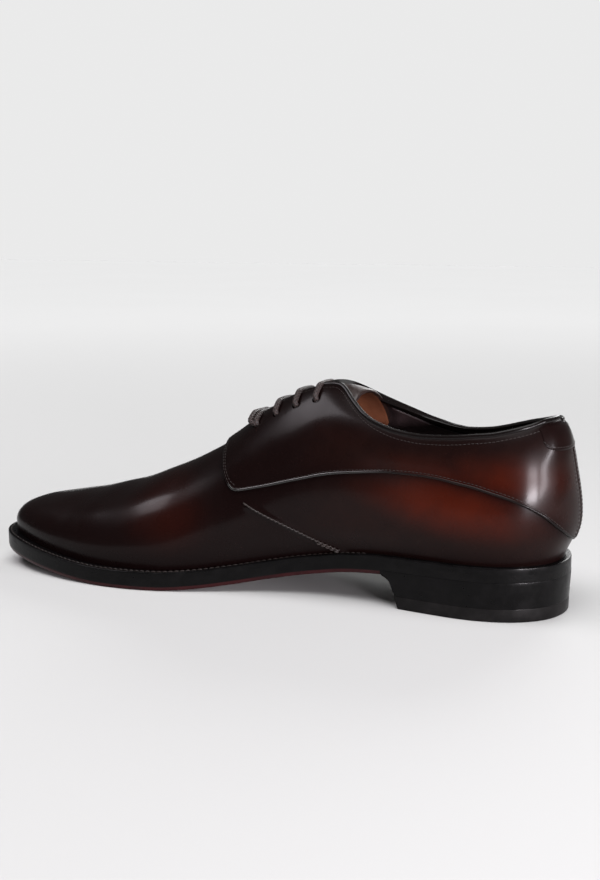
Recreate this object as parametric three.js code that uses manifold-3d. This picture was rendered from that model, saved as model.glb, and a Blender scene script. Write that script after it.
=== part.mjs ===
// A right-foot derby shoe, standing empty on its sole.
// Lengths are millimetres. The shoe is laid out in shoe places: u runs from the back of the heel
// towards the toe, v from the centre line towards the inner side of the foot, and z up from the
// floor. In the finished part the toe points along -X and the inner side faces -Y.
import * as THREE from 'three';
import { mergeVertices } from 'three/addons/utils/BufferGeometryUtils.js';
import Module from 'manifold-3d';

const wasm = await Module();
wasm.setup();

// Sizes of the whole shoe
const length = 303;
const ballWidth = 101;
const heelWidth = 66.2;
const seatHeight = 16.2;
const toeSpring = 8.8;
const instepRise = 82;

// Sizes of the bottom
const outsoleThickness = 6.2;
const weltThickness = 3.2;
const weltReveal = 5;
const weltSeat = 6;
const edgeLine = 2;
const edgeBevel = 0.7;
const insoleThickness = 3;
const topPieceThickness = 6.3;
const topPieceInset = 0.3;
const heelTaper = 0.5;
const breastLength = 74;
const breastLean = 5;
const breastHollow = 4;
const breastRadius = 70;
const breastFillet = 3;

// Sizes of the upper
const wall = 2;
const quarterThickness = 0.9;
const facingThickness = 2.3;
const pipingWidth = 2.2;
const pipingRise = 0.9;
const tabRise = 0.8;
const bindingWidth = 3;
const bindingRise = 0.5;
const tongueThickness = 2.2;
const throatGapTop = 5.2;
const throatGapFoot = 3.6;
const facingCorner = 10;

// Sizes of the lacing
const eyeletPairs = 4;
const eyeletPitch = 10.4;
const topEyeletDistance = 122;
const eyeletOut = 11.8;
const eyeletBore = 4.4;
const laceDiameter = 2.8;

// Clearance between pieces that meet
const clearance = 0.3;

const soleThickness = outsoleThickness + weltThickness;

// How far cutting blocks run past what they cut
const overrun = 40;

// How finely the curved forms are cut: steps from one section row to the next, steps in each
// stretch of a section, and sides of a cord
const stepsBetweenRows = 2;
const stepsInStretch = [1, 2, 2, 3, 3];
const cordSides = 8;
const skirt = 8;

// The sections of the foot, from the back of the heel to the tip of the toe. at is the place of
// the section's outer end along the length, spine the place of its ridge and swing how far the
// ridge lies towards the inner side. fore says how much of the width is the ball's and how much
// the heel's. inner and outer are the reach of the sole's edge as a share of that width, and
// rim how much of the welt's full reveal is seen.
const outlineColumns = ['at', 'spine', 'swing', 'fore', 'inner', 'outer', 'rim'];
const outlineTable = [
  [0.0000, 0.1254, 0.000, 0.00, 0.0000, 0.0000, 0.60],
  [0.0106, 0.1274, 0.000, 0.00, 0.2175, 0.2175, 0.60],
  [0.0363, 0.1320, 0.000, 0.00, 0.3625, 0.3625, 0.60],
  [0.0759, 0.1419, 0.000, 0.00, 0.4607, 0.4607, 0.60],
  [0.1320, 0.1617, 0.000, 0.00, 0.5000, 0.5000, 0.60],
  [0.1914, 0.2013, 0.000, 0.10, 0.4490, 0.4706, 0.58],
  [0.2508, 0.2541, 0.000, 0.25, 0.3790, 0.4300, 0.54],
  [0.3102, 0.3102, 0.000, 0.40, 0.3146, 0.4020, 0.48],
  [0.3696, 0.3663, 0.000, 0.55, 0.2767, 0.3940, 0.46],
  [0.4290, 0.4241, 0.000, 0.70, 0.2715, 0.4084, 0.48],
  [0.4950, 0.4884, 0.002, 0.85, 0.3027, 0.4436, 0.56],
  [0.5611, 0.5545, 0.006, 1.00, 0.3564, 0.4733, 0.68],
  [0.6238, 0.6172, 0.012, 1.00, 0.4257, 0.5129, 0.82],
  [0.6832, 0.6733, 0.020, 1.00, 0.4634, 0.5287, 0.94],
  [0.7393, 0.7228, 0.030, 1.00, 0.4693, 0.5069, 1.00],
  [0.7954, 0.7690, 0.040, 1.00, 0.4525, 0.4614, 1.00],
  [0.8482, 0.8102, 0.049, 1.00, 0.4188, 0.4020, 1.00],
  [0.8977, 0.8432, 0.056, 1.00, 0.3733, 0.3317, 1.00],
  [0.9406, 0.8680, 0.061, 1.00, 0.3168, 0.2574, 1.00],
  [0.9736, 0.8845, 0.064, 1.00, 0.2525, 0.1703, 1.00],
  [0.9934, 0.8944, 0.065, 1.00, 0.1683, 0.0693, 1.00],
  [1.0000, 0.8977, 0.065, 1.00, 0.0644, -0.0644, 1.00],
];

// The same sections from the welt up. The reaches are shares of the section's reach at the welt,
// on the inner side and the outer side of the foot; the rises above the welt are shares of the
// instep's rise. belly is the fullest place low down, flank the middle of the wall, shoulder the
// turn below the ridge, or the height of the collar where the shoe is open, and ridge the top.
const girthColumns = ['innerBelly', 'outerBelly', 'bellyRise', 'innerFlank', 'outerFlank',
  'flankRise', 'innerShoulder', 'outerShoulder', 'shoulderRise', 'ridgeRise'];
const girthTable = [
  [1.190, 1.190, 0.200, 1.120, 1.120, 0.498, 0.912, 0.912, 0.779, 1.005],
  [1.175, 1.175, 0.198, 1.114, 1.114, 0.495, 0.912, 0.912, 0.773, 1.000],
  [1.152, 1.152, 0.193, 1.085, 1.085, 0.488, 0.885, 0.885, 0.750, 0.994],
  [1.135, 1.135, 0.190, 1.050, 1.050, 0.479, 0.860, 0.860, 0.718, 0.988],
  [1.115, 1.115, 0.189, 1.030, 1.030, 0.472, 0.865, 0.865, 0.695, 0.982],
  [1.150, 1.115, 0.183, 1.080, 1.040, 0.463, 0.930, 0.885, 0.683, 0.951],
  [1.195, 1.110, 0.183, 1.155, 1.042, 0.455, 0.980, 0.857, 0.701, 0.921],
  [1.285, 1.092, 0.179, 1.260, 1.025, 0.448, 0.985, 0.755, 0.752, 0.911],
  [1.335, 1.075, 0.183, 1.330, 0.992, 0.451, 0.900, 0.615, 0.793, 0.984],
  [1.306, 1.052, 0.183, 1.306, 0.954, 0.439, 0.923, 0.592, 0.744, 0.980],
  [1.240, 1.033, 0.183, 1.183, 0.932, 0.402, 0.840, 0.580, 0.671, 0.896],
  [1.116, 1.034, 0.162, 1.040, 0.925, 0.360, 0.734, 0.610, 0.567, 0.756],
  [1.051, 1.023, 0.140, 0.962, 0.922, 0.311, 0.667, 0.636, 0.491, 0.655],
  [1.035, 1.015, 0.120, 0.950, 0.910, 0.266, 0.660, 0.640, 0.424, 0.562],
  [1.030, 1.010, 0.112, 0.940, 0.910, 0.241, 0.660, 0.640, 0.370, 0.485],
  [1.025, 1.010, 0.104, 0.930, 0.905, 0.220, 0.650, 0.640, 0.329, 0.430],
  [1.020, 1.010, 0.098, 0.920, 0.900, 0.195, 0.640, 0.635, 0.285, 0.368],
  [1.020, 1.010, 0.093, 0.910, 0.895, 0.178, 0.625, 0.620, 0.255, 0.321],
  [1.015, 1.010, 0.088, 0.900, 0.890, 0.161, 0.600, 0.600, 0.226, 0.280],
  [1.010, 1.010, 0.083, 0.885, 0.885, 0.149, 0.590, 0.590, 0.202, 0.249],
  [1.010, 1.010, 0.079, 0.880, 0.880, 0.139, 0.580, 0.580, 0.188, 0.230],
  [1.010, 1.010, 0.078, 0.880, 0.880, 0.137, 0.580, 0.580, 0.184, 0.226],
];

// The underside along the length: seat is the share of the seat's height that is left there,
// and spring the share of the toe spring. Between the two the sole lies flat on the floor.
const treadColumns = ['at', 'seat', 'spring'];
const treadTable = [
  [-0.100, 1.000, 0.00],
  [0.000, 1.000, 0.00],
  [0.120, 0.990, 0.00],
  [0.264, 0.957, 0.00],
  [0.330, 0.872, 0.00],
  [0.396, 0.690, 0.00],
  [0.462, 0.470, 0.00],
  [0.528, 0.235, 0.00],
  [0.594, 0.065, 0.00],
  [0.650, 0.000, 0.00],
  [0.746, 0.000, 0.00],
  [0.792, 0.000, 0.08],
  [0.842, 0.000, 0.24],
  [0.891, 0.000, 0.44],
  [0.941, 0.000, 0.68],
  [1.000, 0.000, 1.00],
  [1.100, 0.000, 1.55],
];

// The collar's edge: its place along the length, and its height on the inner side and the
// outer side as shares of the height of the instep's top
const toplineColumns = ['at', 'inner', 'outer'];
const toplineTable = [
  [-0.040, 0.868, 0.868],
  [0.000, 0.868, 0.866],
  [0.026, 0.867, 0.850],
  [0.056, 0.842, 0.825],
  [0.083, 0.822, 0.805],
  [0.106, 0.808, 0.786],
  [0.132, 0.800, 0.765],
  [0.158, 0.791, 0.750],
  [0.185, 0.786, 0.745],
  [0.211, 0.785, 0.754],
  [0.241, 0.792, 0.780],
  [0.257, 0.799, 0.797],
  [0.287, 0.822, 0.838],
  [0.314, 0.855, 0.877],
  [0.340, 0.905, 0.918],
  [0.363, 0.957, 0.955],
  [0.381, 0.990, 0.980],
  [0.396, 1.012, 1.004],
];

// The piped seam between the quarter and the lower side panel, from the back seam to the front
// corner of the quarter, and the quarter's front edge from there up to the facing's corner.
// The heights are shares of the height of the instep's top.
const seamColumns = ['at', 'height'];
const pipedSeamTable = [
  [-0.0400, 0.240],
  [-0.0100, 0.262],
  [-0.0060, 0.300],
  [-0.0014, 0.369],
  [0.0098, 0.423],
  [0.0280, 0.477],
  [0.0525, 0.521],
  [0.0770, 0.549],
  [0.0980, 0.566],
  [0.1248, 0.586],
  [0.1515, 0.599],
  [0.1785, 0.612],
  [0.2060, 0.619],
  [0.2333, 0.622],
  [0.2614, 0.622],
  [0.2894, 0.616],
  [0.3182, 0.607],
  [0.3469, 0.597],
  [0.3759, 0.582],
  [0.4056, 0.560],
  [0.4353, 0.538],
  [0.4657, 0.514],
  [0.4950, 0.492],
  [0.5280, 0.464],
];
const quarterFrontTable = [
  [0.5330, 0.480],
  [0.5420, 0.520],
  [0.5520, 0.570],
  [0.5620, 0.630],
  [0.5700, 0.700],
  [0.5740, 0.800],
];

// The tab over the back seam: its lower edge from the back seam up to the collar, and the
// tongue's lower edge from the throat to its free end
const backTabTable = [
  [-0.040, 0.742],
  [0.003, 0.742],
  [0.012, 0.745],
  [0.021, 0.752],
  [0.028, 0.765],
  [0.033, 0.785],
  [0.037, 0.812],
  [0.040, 0.835],
  [0.042, 0.900],
];
const tongueTable = [
  [0.5530, 0.800],
  [0.5480, 0.640],
  [0.5260, 0.605],
  [0.4800, 0.640],
  [0.4200, 0.690],
  [0.3600, 0.715],
  [0.3450, 0.722],
  [0.3330, 0.742],
  [0.3250, 0.780],
  [0.3210, 0.830],
  [0.3200, 0.880],
  [0.3230, 0.920],
  [0.3280, 1.100],
];

const rowsOf = (columns, table) => table.map(
  (row) => Object.fromEntries(columns.map((name, column) => [name, row[column]])));
const sections = rowsOf(outlineColumns, outlineTable)
  .map((row, index) => ({ ...row, ...rowsOf(girthColumns, girthTable)[index] }));
const tread = rowsOf(treadColumns, treadTable);
const topline = rowsOf(toplineColumns, toplineTable);

// A smooth curve through a column of a table that never swings past its rows
function readTable(rows, column, at) {
  const last = rows.length - 1;
  const clamped = THREE.MathUtils.clamp(at, rows[0].at, rows[last].at);
  let index = 0;
  while (index < last - 1 && rows[index + 1].at < clamped) index += 1;
  const slope = (low) => (rows[low + 1][column] - rows[low][column])
    / (rows[low + 1].at - rows[low].at);
  const tangent = (row) => {
    if (row === 0) return slope(0);
    if (row === last) return slope(last - 1);
    const before = slope(row - 1);
    const after = slope(row);
    return before * after <= 0 ? 0 : 2 * before * after / (before + after);
  };
  const span = rows[index + 1].at - rows[index].at;
  const s = (clamped - rows[index].at) / span;
  const start = rows[index][column];
  const end = rows[index + 1][column];
  const rise = s * s * (3 - 2 * s);
  return start + (end - start) * rise
    + span * s * (1 - s) * ((1 - s) * tangent(index) - s * tangent(index + 1));
}

// Heights of the bottom along the length
const treadHeight = (u) => seatHeight * readTable(tread, 'seat', u / length)
  + toeSpring * readTable(tread, 'spring', u / length);
const feather = (u) => treadHeight(u) + soleThickness;
const instepTop = feather(length * sections[8].at) + instepRise;
const toplineHeight = (u, side) => instepTop * readTable(topline, side, u / length);

const place = (u, v, z) => new THREE.Vector3(-u, -v, z);

// The sections in a closed ring: up the inner side to the toe, and back along the outer side
const lastRow = sections.length - 1;
const ring = [];
for (let index = 0; index < 2 * lastRow; index += 1) {
  const inner = index <= lastRow;
  const row = sections[inner ? index : 2 * lastRow - index];
  const side = inner ? 'inner' : 'outer';
  const width = THREE.MathUtils.lerp(heelWidth, ballWidth, row.fore);
  ring.push({
    u: length * row.at,
    v: (inner ? 1 : -1) * width * row[side],
    spineU: length * row.spine,
    spineV: ballWidth * row.swing,
    rim: weltReveal * row.rim,
    belly: row[`${side}Belly`],
    flank: row[`${side}Flank`],
    shoulder: row[`${side}Shoulder`],
    bellyRise: instepRise * row.bellyRise,
    flankRise: instepRise * row.flankRise,
    shoulderRise: instepRise * row.shoulderRise,
    ridgeRise: instepRise * row.ridgeRise,
  });
}
const ringNames = Object.keys(ring[0]);

// The ring's values at any place between its rows, and their rates of change for the outline
function ringAt(station) {
  const count = ring.length;
  const low = Math.floor(station);
  const s = station - low;
  const rows = [-1, 0, 1, 2].map((step) => ring[(low + step + 2 * count) % count]);
  const weights = [
    -0.5 * s + s * s - 0.5 * s ** 3,
    1 - 2.5 * s * s + 1.5 * s ** 3,
    0.5 * s + 2 * s * s - 1.5 * s ** 3,
    -0.5 * s * s + 0.5 * s ** 3,
  ];
  const rates = [
    -0.5 + 2 * s - 1.5 * s * s,
    -5 * s + 4.5 * s * s,
    0.5 + 4 * s - 4.5 * s * s,
    -s + 1.5 * s * s,
  ];
  const sum = (name, factors) => rows.reduce(
    (total, row, index) => total + row[name] * factors[index], 0);
  const values = Object.fromEntries(ringNames.map((name) => [name, sum(name, weights)]));
  const along = new THREE.Vector2(sum('u', rates), sum('v', rates)).normalize();
  return { ...values, outward: new THREE.Vector2(-along.y, along.x) };
}

// The outline of the sole at a station, moved inwards by inset
function outlineAt(station, inset) {
  const row = ringAt(station);
  return new THREE.Vector2(row.u, row.v).addScaledVector(row.outward, -inset);
}

// A point on the form of the foot. level runs 0 to 5: the skirt below the welt, the welt, the
// belly, the flank, the shoulder and the ridge.
function formPoint(station, level) {
  const row = ringAt(station);
  const foot = new THREE.Vector2(row.u, row.v).addScaledVector(row.outward, -row.rim);
  const spine = new THREE.Vector2(row.spineU, row.spineV);
  const reach = foot.distanceTo(spine);
  const profile = new THREE.CatmullRomCurve3([
    new THREE.Vector3(reach, -skirt, 0),
    new THREE.Vector3(reach, 0, 0),
    new THREE.Vector3(reach * row.belly, row.bellyRise, 0),
    new THREE.Vector3(reach * row.flank, row.flankRise, 0),
    new THREE.Vector3(reach * row.shoulder, row.shoulderRise, 0),
    new THREE.Vector3(0, row.ridgeRise, 0),
    new THREE.Vector3(-reach * row.shoulder, row.shoulderRise, 0),
  ], false, 'centripetal').getPoint(level / 6);
  const out = foot.sub(spine).normalize();
  return place(
    spine.x + out.x * profile.x,
    spine.y + out.y * profile.x,
    feather(row.u) + profile.y,
  );
}

function formNormal(station, level) {
  const step = 0.01;
  const below = THREE.MathUtils.clamp(level, step, 5 - 3 * step);
  const along = formPoint(station + step, below).sub(formPoint(station - step, below));
  const up = formPoint(station, below + step).sub(formPoint(station, below - step));
  return up.cross(along).normalize();
}

// The form moved outwards by offset, a number or a function of the place
function offsetPoint(station, level, offset) {
  const point = formPoint(station, level);
  const normal = formNormal(station, level);
  if (level >= 5) normal.add(formNormal(ring.length - station, level)).normalize();
  const distance = typeof offset === 'function' ? offset(-point.x, point.z) : offset;
  return point.addScaledVector(normal, distance);
}

// Triangles of a skin of closed rings, with the first ring capped straight across. The last
// ring is capped the same way, or has met itself along the ridge.
function skinGeometry(rings, capLast) {
  const count = rings[0].length;
  const half = count / 2;
  const positions = rings.flat().flatMap((point) => point.toArray());
  const indices = [];
  for (let level = 0; level + 1 < rings.length; level += 1) {
    for (let index = 0; index < count; index += 1) {
      const a = level * count + index;
      const b = level * count + (index + 1) % count;
      indices.push(a, b, b + count, a, b + count, a + count);
    }
  }
  const cap = (base, flip) => {
    for (let index = 0; index < half; index += 1) {
      const a = base + index;
      const b = base + index + 1;
      const c = base + (count - index - 1) % count;
      const d = base + (count - index) % count;
      const faces = [[a, c, b], [a, d, c]].filter((face) => new Set(face).size === 3);
      faces.forEach((face) => indices.push(...(flip ? face.reverse() : face)));
    }
  };
  cap(0, false);
  if (capLast) cap((rings.length - 1) * count, true);
  const geometry = new THREE.BufferGeometry();
  geometry.setAttribute('position', new THREE.Float32BufferAttribute(positions, 3));
  geometry.setIndex(indices);
  return geometry;
}

// A solid of a closed geometry, whichever way its faces were wound
function solidOf(geometry) {
  const bare = geometry.clone();
  bare.deleteAttribute('normal');
  bare.deleteAttribute('uv');
  const merged = mergeVertices(bare, 1e-4);
  const points = merged.attributes.position.array;
  const kept = [];
  let volume = 0;
  const corner = (vertex) => new THREE.Vector3().fromArray(points, 3 * vertex);
  for (let index = 0; index < merged.index.count; index += 3) {
    const face = [0, 1, 2].map((step) => merged.index.getX(index + step));
    if (new Set(face).size === 3) {
      const [a, b, c] = face.map(corner);
      volume += a.dot(b.cross(c)) / 6;
      kept.push(face);
    }
  }
  const triVerts = Uint32Array.from(kept.flatMap(([a, b, c]) => (volume > 0 ? [a, b, c] : [a, c, b])));
  return new wasm.Manifold(new wasm.Mesh({ numProp: 3, vertProperties: points, triVerts }));
}

// The closed form of the foot, offset outwards
const stations = Array.from({ length: ring.length * stepsBetweenRows },
  (_, index) => index / stepsBetweenRows);
const levels = stepsInStretch.flatMap((steps, stretch) => Array.from({ length: steps },
  (_, step) => stretch + step / steps)).concat(5);
const form = (offset) => solidOf(skinGeometry(
  levels.map((level) => stations.map((station) => offsetPoint(station, level, offset))), false));

// A solid block seen from the side between its points, from v near to v far
function sideBlock(points, near, far) {
  const shape = new THREE.Shape(points.map(([u, z]) => new THREE.Vector2(-u, z)));
  const block = new THREE.ExtrudeGeometry(shape, { depth: far - near, bevelEnabled: false });
  block.rotateX(Math.PI / 2);
  block.translate(0, -near, 0);
  return solidOf(block);
}

// A solid block seen from above between its points, from z low to z high
function planBlock(points, low, high) {
  const shape = new THREE.Shape(points.map(([u, v]) => new THREE.Vector2(-u, -v)));
  const block = new THREE.ExtrudeGeometry(shape, { depth: high - low, bevelEnabled: false });
  block.translate(0, 0, low);
  return solidOf(block);
}

// Points of a table's line in shoe places
const linePoints = (table, height) => table.map(([at, share]) => [length * at, height * share]);
const sideReach = ballWidth;
const farAbove = 2 * instepTop;
const evenly = (from, to, count) => Array.from({ length: count + 1 },
  (_, index) => from + (to - from) * index / count);

// Outsole: full thickness under the foot, with a rebate round its edge where the welt lies
const layer = (inset, height) => stations.map((station) => {
  const edge = outlineAt(station, inset);
  return place(edge.x, edge.y, treadHeight(edge.x) + height);
});
const bedInset = weltReveal + weltSeat;
const outsole = solidOf(skinGeometry([
  layer(edgeBevel, 0),
  layer(0, edgeLine),
  layer(0, outsoleThickness),
  layer(bedInset, outsoleThickness),
  layer(bedInset, soleThickness),
], true));

// Welt: a strip round the whole edge, on the outsole's rebate
const weltRings = [
  layer(0, outsoleThickness + clearance),
  layer(0, soleThickness),
  layer(bedInset - clearance, soleThickness),
  layer(bedInset - clearance, outsoleThickness + clearance),
];
const weltGeometry = new THREE.BufferGeometry();
weltGeometry.setAttribute('position', new THREE.Float32BufferAttribute(
  weltRings.flat().flatMap((point) => point.toArray()), 3));
weltGeometry.setIndex(weltRings.flatMap((_, level) => stations.flatMap((__, index) => {
  const count = stations.length;
  const next = (level + 1) % weltRings.length;
  const a = level * count + index;
  const b = level * count + (index + 1) % count;
  const c = next * count + (index + 1) % count;
  const d = next * count + index;
  return [a, b, c, a, c, d];
})));
const welt = solidOf(weltGeometry);

// Heel: a stack under the seat and a top piece on the floor, with a hollow leaning breast
const breastProfile = [
  [0, -1],
  [breastRadius, -1],
  [breastRadius - breastLean * 0.72, seatHeight - breastFillet],
  [breastRadius - breastLean - breastFillet * 0.3, seatHeight - breastFillet * 0.3],
  [breastRadius - breastLean - breastFillet, seatHeight],
  [breastRadius - breastLean - breastFillet, seatHeight + 1],
  [0, seatHeight + 1],
].map(([radius, z]) => new THREE.Vector2(radius, z));
const breastGeometry = new THREE.LatheGeometry(breastProfile, 120);
breastGeometry.rotateX(Math.PI / 2);
breastGeometry.translate(-(breastLength - breastHollow + breastRadius), 0, 0);
const breastCut = solidOf(breastGeometry);
const ahead = breastLength + breastLean + 2 * breastFillet;
const heelBehind = planBlock([
  [-length, -sideReach], [ahead, -sideReach], [ahead, sideReach], [-length, sideReach],
], -1, seatHeight + 1);
const heelLayer = (inset, height) => stations.map((station) => {
  const edge = outlineAt(station, inset);
  return place(edge.x, edge.y, height(edge.x));
});
const heelBlock = (from, to, insetFrom, insetTo) => solidOf(skinGeometry([
  heelLayer(insetFrom, from), heelLayer(insetTo, to)], true))
  .intersect(heelBehind).subtract(breastCut);
const topPiece = heelBlock(() => 0, () => topPieceThickness,
  heelTaper + topPieceInset, heelTaper + topPieceInset / 2);
const heelStack = heelBlock(() => topPieceThickness + clearance,
  (u) => Math.max(treadHeight(u), seatHeight / 2) - clearance, heelTaper, edgeBevel / 2);

// Insole: lies on the sole inside the upper's wall
const insoleLayer = (height) => stations.map((station) => {
  const inset = ringAt(station).rim + wall + 2 * clearance;
  const edge = outlineAt(station, inset);
  return place(edge.x, edge.y, feather(edge.x) + clearance + height);
});
const insole = solidOf(skinGeometry([insoleLayer(0), insoleLayer(insoleThickness)], true));

// Upper: the wall between two forms, open at the collar and throat and cut off above the welt
const soleLine = evenly(-overrun, length + overrun, 80).map((u) => [u, feather(u) + clearance]);
const aboveWelt = sideBlock([...soleLine, [length + overrun, farAbove], [-overrun, farAbove]],
  -sideReach, sideReach);
const collarLine = (side, drop) => evenly(length * topline[0].at,
  length * topline[topline.length - 1].at, 44)
  .map((u) => [u, toplineHeight(u, side) - drop]);
const collarCut = (side, near, far) => {
  const line = collarLine(side, 0);
  return sideBlock([...line, [line[line.length - 1][0], farAbove], [-overrun, farAbove],
    [-overrun, line[0][1]]], near, far);
};
const mouth = collarCut('inner', 0, sideReach).add(collarCut('outer', -sideReach, 0));

// The step of the quarter over the vamp: full at the facings, thin at the piped seam
const seamRows = rowsOf(seamColumns, pipedSeamTable);
const seamHeight = (u) => instepTop * readTable(seamRows, 'height', u / length);
const quarterRise = (u, z) => {
  const up = THREE.MathUtils.smoothstep(z, seamHeight(u), seamHeight(u) + 0.28 * instepRise);
  const fore = THREE.MathUtils.smoothstep(u, 0.27 * length, 0.42 * length);
  return THREE.MathUtils.lerp(quarterThickness, facingThickness, up * fore);
};
const seamLine = linePoints(pipedSeamTable, instepTop);
const frontLine = linePoints(quarterFrontTable, instepTop);
const quarterField = sideBlock([...seamLine, ...frontLine,
  [frontLine[frontLine.length - 1][0], farAbove], [-overrun, farAbove]], -sideReach, sideReach);

// The gap between the facings, seen from above, with their rounded front corners
const throatFront = length * 0.545;
const throatBack = length * 0.33;
const facingFront = length * 0.6;
const cornerArc = [0, 0.2, 0.4, 0.6, 0.8, 1].map((share) => {
  const angle = share * Math.PI / 2;
  return [throatFront + facingCorner * Math.sin(angle),
    throatGapFoot + facingCorner * (1 - Math.cos(angle))];
});
const gapSide = [[throatBack, throatGapTop], ...cornerArc,
  [facingFront, throatGapFoot + facingCorner]];
const gapBlock = planBlock([...gapSide, ...gapSide.map(([u, v]) => [u, -v]).reverse()],
  0, farAbove);

// Rooms cut in the wall
const bandAbout = (line, width) => {
  const curve = line.map(([u, z]) => new THREE.Vector2(u, z));
  const sideOf = (index, sign) => {
    const along = curve[Math.min(index + 1, curve.length - 1)].clone()
      .sub(curve[Math.max(index - 1, 0)]).normalize();
    return [curve[index].x - sign * along.y * width / 2, curve[index].y + sign * along.x * width / 2];
  };
  return [...curve.map((_, index) => sideOf(index, -1)),
    ...curve.map((_, index) => sideOf(index, 1)).reverse()];
};
const tongueLine = linePoints(tongueTable, instepTop);
const tongueField = (grow) => {
  const centre = new THREE.Vector2(length * 0.44, instepTop * 0.9);
  return sideBlock(tongueLine.map(([u, z]) => {
    const out = new THREE.Vector2(u, z).sub(centre);
    out.setLength(out.length() + grow).add(centre);
    return [out.x, out.y];
  }), -sideReach, sideReach);
};

const innerForm = form(-wall);
const outerForm = form(0);
const quarterForm = form(quarterRise);
const deepForm = form(-wall - tongueThickness);
const embed = form(-wall / 2);

const shell = outerForm.subtract(innerForm);
const quarter = quarterForm.subtract(embed).intersect(quarterField).subtract(gapBlock);
const piping = form((u, z) => quarterRise(u, z) + pipingRise).subtract(embed)
  .intersect(sideBlock(bandAbout(seamLine, pipingWidth), -sideReach, sideReach));
const tabLine = linePoints(backTabTable, instepTop);
const tab = form((u, z) => quarterRise(u, z) + tabRise).subtract(embed)
  .intersect(sideBlock([...tabLine, [-overrun, farAbove / 2]], -sideReach, sideReach));
const binding = ['inner', 'outer'].map((side) => {
  const line = collarLine(side, 0);
  const low = collarLine(side, bindingWidth);
  const [near, far] = side === 'inner' ? [0, sideReach] : [-sideReach, 0];
  return form((u, z) => quarterRise(u, z) + bindingRise).subtract(embed)
    .intersect(sideBlock([...low, ...line.reverse()], near, far));
}).reduce((one, other) => one.add(other)).subtract(gapBlock);

// Where the tongue lies, the wall stands outside it
const tongueRoom = outerForm.subtract(deepForm).intersect(tongueField(clearance));

// Places on the form at a given u and v, found by closing in on the station and the level
function skinAt(u, v, offset) {
  const inner = v >= 0;
  let lowLevel = 3;
  let highLevel = 5;
  let found = null;
  for (let turn = 0; turn < 40; turn += 1) {
    const level = (lowLevel + highLevel) / 2;
    let low = 4;
    let high = lastRow - 4;
    for (let step = 0; step < 40; step += 1) {
      const middle = (low + high) / 2;
      const station = inner ? middle : ring.length - middle;
      if (-formPoint(station, level).x < u) low = middle;
      else high = middle;
    }
    const station = inner ? low : ring.length - low;
    found = { point: offsetPoint(station, level, offset), normal: formNormal(station, level) };
    if (-found.point.y * (inner ? 1 : -1) > Math.abs(v)) lowLevel = level;
    else highLevel = level;
  }
  return found;
}

// Eyelet holes, punched square to the facings
const eyelets = Array.from({ length: eyeletPairs }, (_, index) => topEyeletDistance + index * eyeletPitch);
const bore = (u, v) => {
  const seat = skinAt(u, v, 0);
  const drill = new THREE.CylinderGeometry(eyeletBore / 2, eyeletBore / 2, 6 * wall, 12);
  drill.applyQuaternion(new THREE.Quaternion().setFromUnitVectors(
    new THREE.Vector3(0, 1, 0), seat.normal));
  drill.translate(...seat.point.toArray());
  return solidOf(drill);
};
const bores = eyelets.flatMap((u) => [bore(u, eyeletOut), bore(u, -eyeletOut)])
  .reduce((one, other) => one.add(other));

const upper = shell.add(quarter).add(piping).add(tab).add(binding)
  .subtract(mouth).subtract(tongueRoom).subtract(bores).intersect(aboveWelt);

// Tongue: a curved sheet under the facings, from the vamp's edge to its free end
const tongue = form(-clearance).subtract(form(-clearance - tongueThickness))
  .intersect(tongueField(0));

// Lace bars: one cord across each pair of eyelets, its ends down in the bores. The cord stands
// up out of the bore, turns over its rim and lies on the facings and across the gap.
const laceRadius = laceDiameter / 2;
const barLift = laceRadius + clearance;
function laceBar(u) {
  const lifted = (atU, z) => quarterRise(atU, z) + 1.1 * barLift;
  const turn = (side) => {
    const { point, normal } = skinAt(u, side * eyeletOut, 0);
    const inwards = new THREE.Vector3(-side, 0, 0).cross(normal).normalize();
    const surface = quarterRise(u, point.z);
    const rim = eyeletBore / 2;
    return [
      [0, -0.2 * laceRadius],
      [0, 0.5 * surface],
      ...[0, 30, 60, 85].map(THREE.MathUtils.degToRad).map((angle) => [
        rim * (1 - Math.cos(angle)), surface + rim * Math.sin(angle)]),
    ].map(([along, up]) => point.clone()
      .addScaledVector(inwards, along).addScaledVector(normal, up));
  };
  const reach = eyeletOut - 1.6 * eyeletBore;
  const gapEdge = THREE.MathUtils.mapLinear(u, throatBack, throatFront, throatGapTop, throatGapFoot);
  const across = [-reach, -gapEdge, gapEdge, reach].map((v) => skinAt(u, v, lifted).point);
  const points = [...turn(-1), ...across, ...turn(1).reverse()];
  const curve = new THREE.CatmullRomCurve3(points, false, 'centripetal');
  const ringShape = new THREE.Shape(Array.from({ length: cordSides }, (_, index) => {
    const angle = 2 * Math.PI * (index + 0.5) / cordSides;
    return new THREE.Vector2(laceRadius * Math.cos(angle), laceRadius * Math.sin(angle));
  }));
  return solidOf(new THREE.ExtrudeGeometry(ringShape, {
    extrudePath: curve, steps: 24, bevelEnabled: false,
  }));
}
const laceBars = eyelets.map(laceBar);

// Materials, by the look of the real pieces
const paint = (color, roughness) => new THREE.MeshStandardMaterial({ color, roughness, metalness: 0 });
const calf = paint('#34160f', 0.22);
const tongueCalf = paint('#2a130d', 0.3);
const sockLeather = paint('#2a1a12', 0.6);
const edgeBlack = paint('#14100e', 0.35);
const soleLeather = paint('#4a1a18', 0.45);
const rubber = paint('#121110', 0.55);
const waxedCord = paint('#1d120d', 0.6);

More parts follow.
